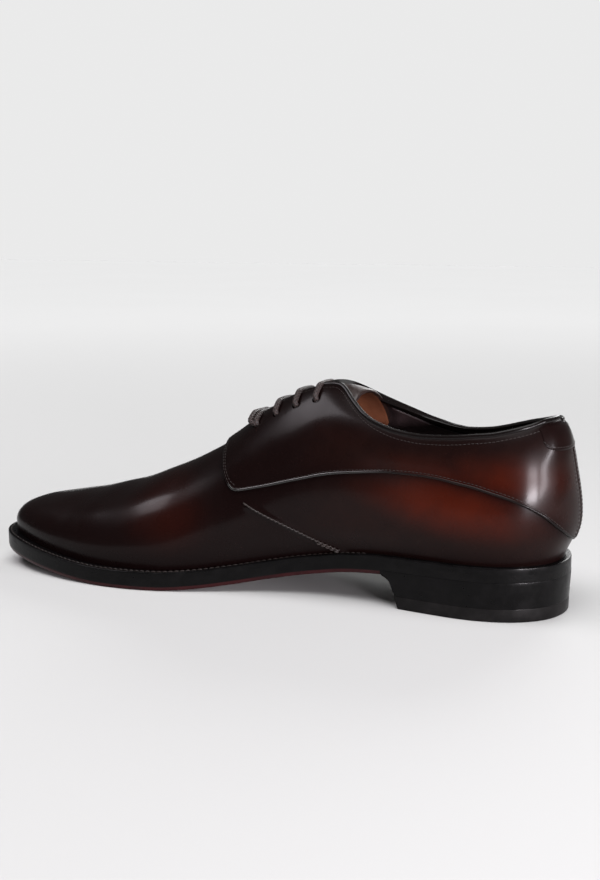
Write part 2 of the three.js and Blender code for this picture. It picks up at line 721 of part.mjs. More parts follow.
const group = new THREE.Group();
function addPiece(name, solid, material) {
  const { vertProperties, triVerts, numProp } = solid.getMesh();
  const geometry = new THREE.BufferGeometry();
  const points = [];
  for (let index = 0; index < vertProperties.length; index += numProp) {
    points.push(vertProperties[index], vertProperties[index + 1], vertProperties[index + 2]);
  }
  geometry.setAttribute('position', new THREE.Float32BufferAttribute(points, 3));
  geometry.setIndex(Array.from(triVerts));
  const mesh = new THREE.Mesh(geometry, material);
  mesh.name = name;
  group.add(mesh);
}
addPiece('upper', upper, calf);
addPiece('tongue', tongue, tongueCalf);
addPiece('insole', insole, sockLeather);
addPiece('welt', welt, edgeBlack);
addPiece('outsole', outsole, soleLeather);
addPiece('heel_stack', heelStack, edgeBlack);
addPiece('heel_top_piece', topPiece, rubber);
laceBars.forEach((bar, index) => addPiece(`lace_bar_${index + 1}`, bar, waxedCord));

// The part's origin: on the floor, under the middle of the shoe
const bounds = new THREE.Box3().setFromObject(group);
const middle = bounds.getCenter(new THREE.Vector3());
group.position.set(-middle.x, -middle.y, -bounds.min.z);
group.updateMatrixWorld(true);

export default group;
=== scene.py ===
import math

import bmesh
import bpy
import numpy as np
from mathutils import Matrix, Vector


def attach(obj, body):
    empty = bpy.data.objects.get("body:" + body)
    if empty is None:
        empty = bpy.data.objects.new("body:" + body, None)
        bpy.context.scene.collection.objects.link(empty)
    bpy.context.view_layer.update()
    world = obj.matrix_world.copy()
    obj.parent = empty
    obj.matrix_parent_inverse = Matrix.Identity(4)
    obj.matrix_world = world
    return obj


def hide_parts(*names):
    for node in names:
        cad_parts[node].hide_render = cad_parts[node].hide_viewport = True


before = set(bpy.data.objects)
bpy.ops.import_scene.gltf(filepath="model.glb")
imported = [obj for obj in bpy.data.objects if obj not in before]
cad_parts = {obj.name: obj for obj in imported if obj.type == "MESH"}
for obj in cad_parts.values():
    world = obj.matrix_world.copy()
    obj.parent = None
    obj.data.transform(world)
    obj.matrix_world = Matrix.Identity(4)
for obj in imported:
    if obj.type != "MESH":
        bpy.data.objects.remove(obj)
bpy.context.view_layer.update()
print("CAD nodes:", sorted(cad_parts))

# %% [markdown]
# ## The camera
# The camera stands behind the heel on the inner side of the foot, a little above it, as the
# photographer did. Its place and direction come first, because every later choice of light and
# detail is judged through it.
# %% Camera
eye = Vector((0.2749, -0.5830, 0.1794))
heading = Vector((-0.376, 0.927, 0.0)).normalized()
pitch = math.radians(9.57)
lens_length = 53.2
sideways_shift = -0.059
gaze = heading * math.cos(pitch) + Vector((0, 0, -math.sin(pitch)))

camera = bpy.data.objects.new("camera", bpy.data.cameras.new("camera"))
bpy.context.scene.collection.objects.link(camera)
camera.location = eye
camera.rotation_mode = "QUATERNION"
camera.rotation_quaternion = gaze.to_track_quat("-Z", "Y")
camera.data.sensor_width = 36
camera.data.lens = lens_length
camera.data.shift_x = sideways_shift
bpy.context.scene.camera = camera
print("camera looks down", round(math.degrees(pitch), 2), "degrees")

# %% [markdown]
# ## The last
# A shoe takes its form from a last, the solid foot that it is built on. A hand could sculpt it,
# but the CAD part already describes it by sections from heel to toe, so the same sections are
# used here and the panels fit the frame with no guessing. Each section gives the sole's edge, the
# ridge above it, and the belly, flank and shoulder between them.
# %% Sizes and sections of the last
shoe_length = 303.0
ball_width = 101.0
heel_width = 66.2
seat_height = 16.2
toe_spring = 8.8
instep_rise = 82.0
sole_thickness = 9.4
welt_reveal = 5.0
wall = 2.0
skirt = 8.0

# at, spine, swing, fore, inner, outer, rim
outline_table = np.array([
    [0.0000, 0.1254, 0.000, 0.00, 0.0000, 0.0000, 0.60],
    [0.0106, 0.1274, 0.000, 0.00, 0.2175, 0.2175, 0.60],
    [0.0363, 0.1320, 0.000, 0.00, 0.3625, 0.3625, 0.60],
    [0.0759, 0.1419, 0.000, 0.00, 0.4607, 0.4607, 0.60],
    [0.1320, 0.1617, 0.000, 0.00, 0.5000, 0.5000, 0.60],
    [0.1914, 0.2013, 0.000, 0.10, 0.4490, 0.4706, 0.58],
    [0.2508, 0.2541, 0.000, 0.25, 0.3790, 0.4300, 0.54],
    [0.3102, 0.3102, 0.000, 0.40, 0.3146, 0.4020, 0.48],
    [0.3696, 0.3663, 0.000, 0.55, 0.2767, 0.3940, 0.46],
    [0.4290, 0.4241, 0.000, 0.70, 0.2715, 0.4084, 0.48],
    [0.4950, 0.4884, 0.002, 0.85, 0.3027, 0.4436, 0.56],
    [0.5611, 0.5545, 0.006, 1.00, 0.3564, 0.4733, 0.68],
    [0.6238, 0.6172, 0.012, 1.00, 0.4257, 0.5129, 0.82],
    [0.6832, 0.6733, 0.020, 1.00, 0.4634, 0.5287, 0.94],
    [0.7393, 0.7228, 0.030, 1.00, 0.4693, 0.5069, 1.00],
    [0.7954, 0.7690, 0.040, 1.00, 0.4525, 0.4614, 1.00],
    [0.8482, 0.8102, 0.049, 1.00, 0.4188, 0.4020, 1.00],
    [0.8977, 0.8432, 0.056, 1.00, 0.3733, 0.3317, 1.00],
    [0.9406, 0.8680, 0.061, 1.00, 0.3168, 0.2574, 1.00],
    [0.9736, 0.8845, 0.064, 1.00, 0.2525, 0.1703, 1.00],
    [0.9934, 0.8944, 0.065, 1.00, 0.1683, 0.0693, 1.00],
    [1.0000, 0.8977, 0.065, 1.00, 0.0644, -0.0644, 1.00],
])
# %% Girth of the sections
# inner belly, outer belly, its rise, inner flank, outer flank, its rise, inner shoulder,
# outer shoulder, its rise, rise of the ridge
girth_table = np.array([
    [1.190, 1.190, 0.200, 1.120, 1.120, 0.498, 0.912, 0.912, 0.779, 1.005],
    [1.175, 1.175, 0.198, 1.114, 1.114, 0.495, 0.912, 0.912, 0.773, 1.000],
    [1.152, 1.152, 0.193, 1.085, 1.085, 0.488, 0.885, 0.885, 0.750, 0.994],
    [1.135, 1.135, 0.190, 1.050, 1.050, 0.479, 0.860, 0.860, 0.718, 0.988],
    [1.115, 1.115, 0.189, 1.030, 1.030, 0.472, 0.865, 0.865, 0.695, 0.982],
    [1.150, 1.115, 0.183, 1.080, 1.040, 0.463, 0.930, 0.885, 0.683, 0.951],
    [1.195, 1.110, 0.183, 1.155, 1.042, 0.455, 0.980, 0.857, 0.701, 0.921],
    [1.285, 1.092, 0.179, 1.260, 1.025, 0.448, 0.985, 0.755, 0.752, 0.911],
    [1.335, 1.075, 0.183, 1.330, 0.992, 0.451, 0.900, 0.615, 0.793, 0.984],
    [1.306, 1.052, 0.183, 1.306, 0.954, 0.439, 0.923, 0.592, 0.744, 0.980],
    [1.240, 1.033, 0.183, 1.183, 0.932, 0.402, 0.840, 0.580, 0.671, 0.896],
    [1.116, 1.034, 0.162, 1.040, 0.925, 0.360, 0.734, 0.610, 0.567, 0.756],
    [1.051, 1.023, 0.140, 0.962, 0.922, 0.311, 0.667, 0.636, 0.491, 0.655],
    [1.035, 1.015, 0.120, 0.950, 0.910, 0.266, 0.660, 0.640, 0.424, 0.562],
    [1.030, 1.010, 0.112, 0.940, 0.910, 0.241, 0.660, 0.640, 0.370, 0.485],
    [1.025, 1.010, 0.104, 0.930, 0.905, 0.220, 0.650, 0.640, 0.329, 0.430],
    [1.020, 1.010, 0.098, 0.920, 0.900, 0.195, 0.640, 0.635, 0.285, 0.368],
    [1.020, 1.010, 0.093, 0.910, 0.895, 0.178, 0.625, 0.620, 0.255, 0.321],
    [1.015, 1.010, 0.088, 0.900, 0.890, 0.161, 0.600, 0.600, 0.226, 0.280],
    [1.010, 1.010, 0.083, 0.885, 0.885, 0.149, 0.590, 0.590, 0.202, 0.249],
    [1.010, 1.010, 0.079, 0.880, 0.880, 0.139, 0.580, 0.580, 0.188, 0.230],
    [1.010, 1.010, 0.078, 0.880, 0.880, 0.137, 0.580, 0.580, 0.184, 0.226],
])
# %% Seat and toe spring
# at, seat, spring
tread_table = np.array([
    [-0.100, 1.000, 0.00], [0.000, 1.000, 0.00], [0.120, 0.990, 0.00], [0.264, 0.957, 0.00],
    [0.330, 0.872, 0.00], [0.396, 0.690, 0.00], [0.462, 0.470, 0.00], [0.528, 0.235, 0.00],
    [0.594, 0.065, 0.00], [0.650, 0.000, 0.00], [0.746, 0.000, 0.00], [0.792, 0.000, 0.08],
    [0.842, 0.000, 0.24], [0.891, 0.000, 0.44], [0.941, 0.000, 0.68], [1.000, 0.000, 1.00],
    [1.100, 0.000, 1.55],
])
print(len(outline_table), "sections from heel to toe")


# %% [markdown]
# ## Reading the tables
# Between the rows of a table the value follows a smooth curve that never swings past its rows, so
# that no edge of a panel gets a wave which the maker did not draw.
# %% Reading the tables
def read_table(table, column, at):
    places = table[:, 0]
    values = table[:, column]
    at = np.clip(np.asarray(at, float), places[0], places[-1])
    low = np.clip(np.searchsorted(places, at) - 1, 0, len(places) - 2)
    slopes = np.diff(values) / np.diff(places)
    both = slopes[:-1] * slopes[1:]
    total = np.where(both > 0, slopes[:-1] + slopes[1:], 1.0)
    tangents = np.concatenate([slopes[:1], np.where(both > 0, 2 * both / total, 0.0), slopes[-1:]])
    span = places[low + 1] - places[low]
    s = (at - places[low]) / span
    rise = s * s * (3 - 2 * s)
    bend = span * s * (1 - s) * ((1 - s) * tangents[low] - s * tangents[low + 1])
    return values[low] + (values[low + 1] - values[low]) * rise + bend


def tread_height(u):
    at = np.asarray(u, float) / shoe_length
    return seat_height * read_table(tread_table, 1, at) + toe_spring * read_table(tread_table, 2, at)


def feather(u):
    return tread_height(u) + sole_thickness


instep_top = float(feather(shoe_length * outline_table[8, 0])) + instep_rise
print("top of the instep is", round(instep_top, 1), "mm above the floor")


# %% [markdown]
# ## The ring of sections
# The sections stand in a closed ring: up the inner side to the toe, and back along the outer
# side. A place on the last is then a station round the ring and a level up the section, where
# level 1 is the welt and level 5 the ridge on top of the foot.
# %% The ring of sections
def ring_rows():
    rows = []
    last = len(outline_table) - 1
    for index in range(2 * last):
        inner = index <= last
        row = index if inner else 2 * last - index
        at, spine, swing, fore, inner_reach, outer_reach, rim = outline_table[row]
        girth = girth_table[row]
        side = 0 if inner else 1
        width = heel_width + (ball_width - heel_width) * fore
        reach = width * (inner_reach if inner else -outer_reach)
        rows.append([
            shoe_length * at, reach, shoe_length * spine, ball_width * swing, welt_reveal * rim,
            girth[0 + side], girth[3 + side], girth[6 + side], instep_rise * girth[2],
            instep_rise * girth[5], instep_rise * girth[8], instep_rise * girth[9],
        ])
    return np.array(rows)


ring = ring_rows()
ring_size = len(ring)


# %% Reading the ring between its sections
def blend_weights(s):
    return np.stack([
        -0.5 * s + s**2 - 0.5 * s**3, 1 - 2.5 * s**2 + 1.5 * s**3,
        0.5 * s + 2 * s**2 - 1.5 * s**3, -0.5 * s**2 + 0.5 * s**3,
    ])


def ring_at(station):
    low = np.floor(station).astype(int)
    s = station - low
    rows = ring[(low[None] + np.arange(-1, 3)[:, None]) % ring_size]
    rates = np.stack([-0.5 + 2 * s - 1.5 * s**2, -5 * s + 4.5 * s**2,
                      0.5 + 4 * s - 4.5 * s**2, -s + 1.5 * s**2])
    values = np.einsum("kn,knc->nc", blend_weights(s), rows)
    along = np.einsum("kn,knc->nc", rates, rows[..., :2])
    along /= np.linalg.norm(along, axis=1)[:, None]
    return values, np.stack([-along[:, 1], along[:, 0]], axis=1)


# %% [markdown]
# ## Sampling and sanding the last
# Polished leather shows every kink as a broken highlight. The last is therefore sampled once on a
# fine grid and sanded: each point moves to a weighted mean of its neighbours within a few
# millimetres. All the panels are then cut from this one grid, with their thickness added along
# its normals.
# %% Sampling the last
station_steps = 20
level_steps = 32
ridge_level = 5.0


def bare_last(stations, levels):
    row, outward = ring_at(stations)
    foot = row[:, 0:2] - outward * row[:, 4:5]
    arm = foot - row[:, 2:4]
    reach = np.linalg.norm(arm, axis=1)
    out = arm / reach[:, None]
    zero = np.zeros_like(reach)
    knots = np.stack([
        np.stack([reach, zero - skirt], 1), np.stack([reach, zero], 1),
        np.stack([reach * row[:, 5], row[:, 8]], 1), np.stack([reach * row[:, 6], row[:, 9]], 1),
        np.stack([reach * row[:, 7], row[:, 10]], 1), np.stack([zero, row[:, 11]], 1),
        np.stack([-reach * row[:, 7], row[:, 10]], 1),
    ], axis=1)
    ends = [2 * knots[:, :1] - knots[:, 1:2], knots, 2 * knots[:, -1:] - knots[:, -2:-1]]
    knots = np.concatenate(ends, axis=1)
    profile = []
    for level in levels:
        step = min(int(level), 5)
        t = level - step
        p0, p1, p2, p3 = (knots[:, step + k] for k in range(4))
        d0, d1, d2 = (np.linalg.norm(b - a, axis=1)[:, None] ** 0.5
                      for a, b in ((p0, p1), (p1, p2), (p2, p3)))
        start = ((p1 - p0) / d0 - (p2 - p0) / (d0 + d1) + (p2 - p1) / d1) * d1
        end = ((p2 - p1) / d1 - (p3 - p1) / (d1 + d2) + (p3 - p2) / d2) * d1
        profile.append(p1 + start * t + (3 * (p2 - p1) - 2 * start - end) * t**2
                       + (2 * (p1 - p2) + start + end) * t**3)
    profile = np.stack(profile, axis=1)
    plan = row[:, None, 2:4] + out[:, None, :] * profile[..., :1]
    height = feather(row[:, 0])[:, None] + profile[..., 1]
    return np.concatenate([plan, height[..., None]], axis=2)


# %% The last as a grid
fine_stations = np.arange(ring_size * station_steps) / station_steps
half_levels = np.arange(5 * level_steps + 1) / level_steps
near_half = bare_last(fine_stations, half_levels)
far_half = near_half[(-np.arange(len(fine_stations))) % len(fine_stations)][:, ::-1]
last_grid = np.concatenate([near_half, far_half[:, 1:]], axis=1)


# %% Sanding the last
def sanding_weights(spread):
    steps = np.arange(-int(3 * spread), int(3 * spread) + 1)
    weights = np.exp(-0.5 * (steps / spread) ** 2)
    return steps, weights / weights.sum()


def sanded_round(grid, spread):
    steps, weights = sanding_weights(spread)
    return sum(w * np.roll(grid, -k, axis=0) for k, w in zip(steps, weights))


def sanded_up(grid, spread):
    steps, weights = sanding_weights(spread)
    reach = steps[-1]
    padded = np.pad(grid, ((0, 0), (reach, reach), (0, 0)), mode="edge")
    return sum(w * padded[:, reach + k:reach + k + grid.shape[1]] for k, w in zip(steps, weights))


last_grid = sanded_up(sanded_round(last_grid, 4.5), 4.0)


def grid_normals(grid):
    along = np.roll(grid, -1, axis=0) - np.roll(grid, 1, axis=0)
    up = np.gradient(grid, axis=1)
    normal = np.cross(up, along)
    return normal / np.linalg.norm(normal, axis=2, keepdims=True)


last_normals = grid_normals(last_grid)
print("the last has", last_grid.shape[0], "by", last_grid.shape[1], "points")


# %% Looking up places on the last
def look_up(grid, station, level):
    x = np.asarray(station, float) * station_steps
    y = np.asarray(level, float) * level_steps
    i = np.floor(x).astype(int)
    j = np.clip(np.floor(y).astype(int), 1, grid.shape[1] - 3)
    across = blend_weights(x - i)
    upward = blend_weights(y - j)
    total = 0.0
    for a in range(4):
        rows = (i + a - 1) % grid.shape[0]
        for b in range(4):
            weight = (across[a] * upward[b])[..., None]
            total = total + weight * grid[rows, j + b - 1]
    return total


def on_last(station, level, offset=0.0):
    point = look_up(last_grid, station, level)
    normal = look_up(last_normals, station, level)
    normal /= np.linalg.norm(normal, axis=-1, keepdims=True)
    return point + normal * np.asarray(offset, float)[..., None]


def normal_on_last(station, level):
    normal = look_up(last_normals, station, level)
    return normal / np.linalg.norm(normal, axis=-1, keepdims=True)


# %% Finding a line on the last
def level_where(stations, past, low=1.0):
    tries = np.linspace(low, ridge_level, 97)
    seen = past(look_up(last_grid, *np.meshgrid(stations, tries, indexing="ij"))) > 0
    first = np.where(seen.any(axis=1), seen.argmax(axis=1), len(tries) - 1)
    under = tries[np.maximum(first - 1, 0)]
    over = tries[first]
    for _ in range(18):
        middle = (under + over) / 2
        is_past = past(look_up(last_grid, stations, middle)) > 0
        over = np.where(is_past, middle, over)
        under = np.where(is_past, under, middle)
    return (under + over) / 2


def spot_on_inner_side(u, z):
    stations = np.linspace(0.5, 20.5, 81)
    levels = np.linspace(1.0, 4.6, 61)
    grid = look_up(last_grid, *np.meshgrid(stations, levels, indexing="ij"))
    gap = (grid[..., 0][None] - u[:, None, None]) ** 2 + (grid[..., 2][None] - z[:, None, None]) ** 2
    best = gap.reshape(len(u), -1).argmin(axis=1)
    station = stations[best // len(levels)]
    level = levels[best % len(levels)]
    step = 0.01
    for _ in range(12):
        here = look_up(last_grid, station, level)
        by_station = (look_up(last_grid, station + step, level) - here) / step
        by_level = (look_up(last_grid, station, level + step) - here) / step
        miss_u = u - here[:, 0]
        miss_z = z - here[:, 2]
        det = by_station[:, 0] * by_level[:, 2] - by_station[:, 2] * by_level[:, 0]
        station = station + (miss_u * by_level[:, 2] - miss_z * by_level[:, 0]) / det
        level = level + (miss_z * by_station[:, 0] - miss_u * by_station[:, 2]) / det
    return station, level


# %% [markdown]
# ## From places to meshes
# A panel is a grid of points, so one helper turns any grid into a mesh object. It also stores how
# near each point lies to the panel's edge, which the leather later uses to darken its rims: a
# burnished edge, and on the vamp also painted shade above the welt and under the piping.
# %% Mesh helpers
heel_from_middle = 148.785
spine_from_middle = -2.977
millimetre = 0.001


def to_part(points):
    points = np.asarray(points, float)
    place = np.stack([heel_from_middle - points[..., 0], spine_from_middle - points[..., 1],
                      points[..., 2]], axis=-1)
    return place * millimetre


def piece_from(name, points, faces, merge=0.02, smooth_angle=40.0, values=None):
    mesh = bpy.data.meshes.new(name)
    mesh.from_pydata(to_part(points.reshape(-1, 3)).tolist(), [], faces)
    for title, column in (values or {}).items():
        layer = mesh.attributes.new(title, "FLOAT", "POINT")
        layer.data.foreach_set("value", np.asarray(column, float).ravel())
    if merge:
        work = bmesh.new()
        work.from_mesh(mesh)
        bmesh.ops.remove_doubles(work, verts=work.verts, dist=merge * millimetre)
        bmesh.ops.dissolve_degenerate(work, edges=work.edges, dist=0.000002)
        work.to_mesh(mesh)
        work.free()
    mesh.polygons.foreach_set("use_smooth", [True] * len(mesh.polygons))
    mesh.set_sharp_from_angle(angle=math.radians(smooth_angle))
    mesh.update()
    piece = bpy.data.objects.new(name, mesh)
    bpy.context.scene.collection.objects.link(piece)
    return piece


# %% Faces of a grid
def grid_faces(rows, columns, close_rows=False, close_columns=False, turned=False):
    faces = []
    for i in range(rows if close_rows else rows - 1):
        k = (i + 1) % rows
        for j in range(columns if close_columns else columns - 1):
            n = (j + 1) % columns
            quad = (i * columns + j, i * columns + n, k * columns + n, k * columns + j)
            faces.append(quad[::-1] if turned else quad)
    return faces


# %% Telling a piece's size, and putting it on the frame
def tell(*pieces):
    for piece in pieces:
        print(piece.name, "measures", [round(1000 * size) for size in piece.dimensions], "mm")


def finish_piece(piece, material, nodes=()):
    piece.data.materials.clear()
    piece.data.materials.append(material)
    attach(piece, "root")
    if nodes:
        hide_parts(*nodes)
    triangles = sum(len(face.vertices) - 2 for face in piece.data.polygons)
    print(piece.name, "has", triangles, "triangles")
    return piece


# %% [markdown]
# ## Lines on the upper
# The collar, the piped seam, the quarter's front edge, the gap between the facings, the tab and
# the tongue each have a drawn line, in shares of the shoe's length and of the instep's height.
# A test of a place says on which side of a line it lies, and a panel's edge is where two tests
# meet. The tests are blended a little so that corners come out rounded, as cut leather is.
# %% Lines of the collar, seams, tab and tongue
topline_table = np.array([
    [-0.040, 0.868, 0.868], [0.000, 0.868, 0.866], [0.026, 0.867, 0.850], [0.056, 0.842, 0.825],
    [0.083, 0.822, 0.805], [0.106, 0.808, 0.786], [0.132, 0.800, 0.765], [0.158, 0.791, 0.750],
    [0.185, 0.786, 0.745], [0.211, 0.785, 0.754], [0.241, 0.792, 0.780], [0.257, 0.799, 0.797],
    [0.287, 0.822, 0.838], [0.314, 0.855, 0.877], [0.340, 0.905, 0.918], [0.363, 0.957, 0.955],
    [0.381, 0.990, 0.980], [0.396, 1.012, 1.004], [0.430, 1.100, 1.100], [0.700, 1.600, 1.600],
])
piped_seam_table = np.array([
    [-0.0400, 0.240], [-0.0100, 0.262], [-0.0060, 0.300], [-0.0014, 0.369], [0.0098, 0.423],
    [0.0280, 0.477], [0.0525, 0.521], [0.0770, 0.549], [0.0980, 0.566],
    [0.1248, 0.586], [0.1515, 0.599], [0.1785, 0.612],
    [0.2060, 0.619], [0.2333, 0.622], [0.2614, 0.622], [0.2894, 0.616], [0.3182, 0.607],
    [0.3469, 0.597], [0.3759, 0.582], [0.4056, 0.560], [0.4353, 0.538], [0.4657, 0.514],
    [0.4950, 0.492], [0.5280, 0.464],
])
# height, at
quarter_front_table = np.array([
    [0.480, 0.5330], [0.520, 0.5420], [0.570, 0.5520], [0.630, 0.5620], [0.700, 0.5700],
    [0.800, 0.5740],
])
tab_table = np.array([
    [-0.040, 0.742], [0.003, 0.742], [0.012, 0.745], [0.021, 0.752], [0.028, 0.765],
    [0.033, 0.785], [0.037, 0.812], [0.040, 0.835], [0.042, 0.900],
])
# at, height of the tongue's lower edge
tongue_low_table = np.array([
    [0.3450, 0.722], [0.3600, 0.715], [0.4200, 0.690], [0.4800, 0.640], [0.5260, 0.605],
    [0.5480, 0.640], [0.5530, 0.800],
])
# height, at of the tongue's free end
tongue_end_table = np.array([
    [0.722, 0.3450], [0.742, 0.3330], [0.780, 0.3250], [0.830, 0.3210], [0.880, 0.3200],
    [0.920, 0.3230], [1.100, 0.3280],
])
tongue_front = 0.553
throat_back = 0.33 * shoe_length
throat_front = 0.545 * shoe_length
quarter_thin = 0.9
facing_thick = 2.3
gap_top = 5.2
gap_foot = 3.6
facing_corner = 10.0


# %% Tests for the lines
def soft_max(a, b, reach=3.0):
    return 0.5 * (a + b + np.sqrt((a - b) ** 2 + reach**2))


def soft_min(a, b, reach=3.0):
    return -soft_max(-a, -b, reach)


def above_line(point, table, column=1):
    return point[..., 2] - instep_top * read_table(table, column, point[..., 0] / shoe_length)


def behind_line(point, table):
    return shoe_length * read_table(table, 1, point[..., 2] / instep_top) - point[..., 0]


def gap_half(u):
    slope = np.clip((u - throat_back) / (throat_front - throat_back), 0, 1)
    straight = gap_top + (gap_foot - gap_top) * slope
    turn = np.clip((u - throat_front) / facing_corner, 0, 0.999)
    past = np.maximum(u - throat_front - facing_corner, 0)
    return straight + facing_corner * (1 - np.sqrt(1 - turn**2)) + 3 * past


def in_gap(point):
    u = point[..., 0]
    open_here = gap_half(u) - np.abs(point[..., 1])
    return np.where(u > throat_back - 12, open_here, -30.0)


def in_opening(point, side):
    collar = above_line(point, topline_table, 1 if side == "inner" else 2)
    return soft_max(collar, in_gap(point), 2.5)


def past_quarter_edge(point):
    return soft_min(above_line(point, piped_seam_table), behind_line(point, quarter_front_table), 5.0)


# %% How far the quarters stand off
def smooth(value, low, high):
    t = np.clip((value - low) / (high - low), 0, 1)
    return t * t * (3 - 2 * t)


def quarter_rise(point):
    seam = instep_top * read_table(piped_seam_table, 1, point[..., 0] / shoe_length)
    up = smooth(point[..., 2], seam, seam + 0.28 * instep_rise)
    fore = smooth(point[..., 0], 0.27 * shoe_length, 0.42 * shoe_length)
    return quarter_thin + (facing_thick - quarter_thin) * up * fore


def side_stations(runs, side):
    return runs if side == "inner" else ring_size - runs


# %% [markdown]
# ## Leather that has settled
# New calf is stretched tight over the last, yet it still shows soft hollows where it is pulled by
# a seam or bends under the ankle. They are placed one by one, each with its place, reach, lean and
# depth in millimetres, as troughs and ridges that the panels share.
# %% Soft troughs and ridges
# side, along, height, half length, half width, lean in degrees, rise
settling_table = [
    ("inner", 92.0, 66.0, 26.0, 7.0, 24.0, -0.55),
    ("inner", 60.0, 72.0, 24.0, 6.0, -6.0, 0.35),
    ("inner", 128.0, 62.0, 22.0, 6.5, -32.0, -0.40),
    ("inner", 26.0, 40.0, 8.0, 20.0, 0.0, 0.30),
    ("inner", 110.0, 40.0, 30.0, 7.0, -14.0, -0.45),
    ("outer", 90.0, 64.0, 26.0, 7.0, 22.0, -0.50),
    ("outer", 60.0, 70.0, 24.0, 6.0, -6.0, 0.35),
    ("outer", 120.0, 52.0, 26.0, 7.0, -20.0, -0.40),
    ("both", 196.0, 58.0, 9.0, 24.0, 12.0, -0.35),
    ("both", 208.0, 50.0, 7.0, 24.0, 16.0, 0.25),
]


# %% Ridge of the slanting seam
# along, height
slant_path = np.array([
    [152.0, 44.4], [147.3, 42.1], [141.7, 39.5], [133.0, 35.7], [124.6, 32.0], [116.2, 27.9],
    [111.1, 25.8], [107.8, 24.4],
])


def slant_ridge(point):
    first, last = slant_path[0], slant_path[-1]
    along = (last - first) / np.linalg.norm(last - first)
    du = point[..., 0] - first[0]
    dz = point[..., 2] - first[1]
    run = du * along[0] + dz * along[1]
    away = dz * along[0] - du * along[1]
    sag = 0.35 * np.sin(np.clip(run / 48.0, 0, 1) * math.pi)
    ends = smooth(run, -1.0, 3.0) * smooth(point[..., 1], 0.0, 8.0)
    return 0.75 * np.exp(-0.5 * ((away + sag) / 0.75) ** 2) * ends


# %% Adding up the troughs and ridges
def settling(point):
    total = slant_ridge(point)
    for side, along, height, long_half, wide_half, lean, rise in settling_table:
        turn = math.radians(lean)
        du = point[..., 0] - along
        dz = point[..., 2] - height
        reach = (du * math.cos(turn) + dz * math.sin(turn)) / long_half
        spread = (dz * math.cos(turn) - du * math.sin(turn)) / wide_half
        here = rise * np.exp(-0.5 * (reach**2 + spread**2))
        if side == "inner":
            here = here * smooth(point[..., 1], -2, 10)
        elif side == "outer":
            here = here * smooth(-point[..., 1], -2, 10)
        total = total + here
    return total


# %% [markdown]
# ## The quarters
# The quarters are the two side pieces that carry the eyelets. On a derby they lie on top of the
# vamp, so each is its own sheet of leather with a real thickness. Its lower line follows the
# piped seam and then turns up the front edge, and its upper line follows the collar and the
# facing. The panel is ruled between the two lines on the last, and its rim is rounded off.
# %% The two edges of a quarter
def line_length(station, level):
    points = on_last(station, level)
    steps = np.linalg.norm(np.diff(points, axis=0), axis=1)
    return np.concatenate([[0.0], np.cumsum(steps)])


def quarter_lines(side):
    runs = np.linspace(0.0, 12.6, 1600)
    stations = side_stations(runs, side)
    low = level_where(stations, past_quarter_edge)
    high = level_where(stations, lambda point: in_opening(point, side))
    crossed = np.nonzero(low >= high - 0.01)[0]
    end = crossed[0] if len(crossed) else len(runs) - 1
    stations = stations[:end + 1]
    low = low[:end + 1]
    high = np.maximum(high[:end + 1], low)
    high[-1] = low[-1]
    return stations, low, high


# places along the length where the lower and the upper line are paired
quarter_pairs = [(20, 20), (60, 60), (100, 108), (130, 122), (155, 145)]


def fraction_at(station, level, length, u):
    points = on_last(station, level)
    return float(np.interp(u, np.maximum.accumulate(points[:, 0]), length / length[-1]))


# %% A grid for each quarter
def quarter_frame(side, count):
    stations, low, high = quarter_lines(side)
    low_length = line_length(stations, low)
    high_length = line_length(stations, high)
    low_keys = [0.0] + [fraction_at(stations, low, low_length, a) for a, _ in quarter_pairs] + [1.0]
    high_keys = [0.0] + [fraction_at(stations, high, high_length, b) for _, b in quarter_pairs] + [1.0]
    keys = (np.array(low_keys) + np.array(high_keys)) / 2
    near_seam = np.array([0.0, 0.0008, 0.002, 0.004])
    t = np.concatenate([near_seam, np.linspace(0.0075, 1.0, count)])
    low_at = np.interp(t, keys, low_keys) * low_length[-1]
    high_at = np.interp(t, keys, high_keys) * high_length[-1]
    frame_lines = {
        "t": t,
        "low": (np.interp(low_at, low_length, stations), np.interp(low_at, low_length, low)),
        "high": (np.interp(high_at, high_length, stations), np.interp(high_at, high_length, high)),
    }
    across = [on_last(frame_lines["low"][0] + (frame_lines["high"][0] - frame_lines["low"][0]) * c,
                      frame_lines["low"][1] + (frame_lines["high"][1] - frame_lines["low"][1]) * c)
              for c in np.linspace(0, 1, 13)]
    frame_lines["width"] = sum(np.linalg.norm(b - a, axis=1) for a, b in zip(across, across[1:]))
    frame_lines["length"] = low_length[-1]
    return frame_lines


quarter_frames = {side: quarter_frame(side, 330) for side in ("inner", "outer")}
for side, lines in quarter_frames.items():
    print(side, "quarter is", round(float(lines["length"])), "mm along its seam")


# %% Ruling a quarter between its edges
def place_between(lines, share, columns=slice(None)):
    return tuple(lines["low"][k][columns] * (1 - share) + lines["high"][k][columns] * share
                 for k in (0, 1))


def rounded(full, radius, inside):
    short = np.clip(radius - inside, 0, None)
    return full - radius + np.sqrt(np.maximum(radius**2 - short**2, 0))


def across_quarter(side, inside, columns, from_top):
    lines = quarter_frames[side]
    width = np.maximum(lines["width"][columns], 0.05)
    share = np.clip(inside / width, 0, 1)
    if from_top:
        share = 1 - share
    return place_between(lines, share, columns)


rim_steps = [0.0, 0.12, 0.35, 0.7, 1.2]
leather_under = -0.1


def quarter_offset(station, level):
    place = look_up(last_grid, station, level)
    return quarter_rise(place) + settling(place)


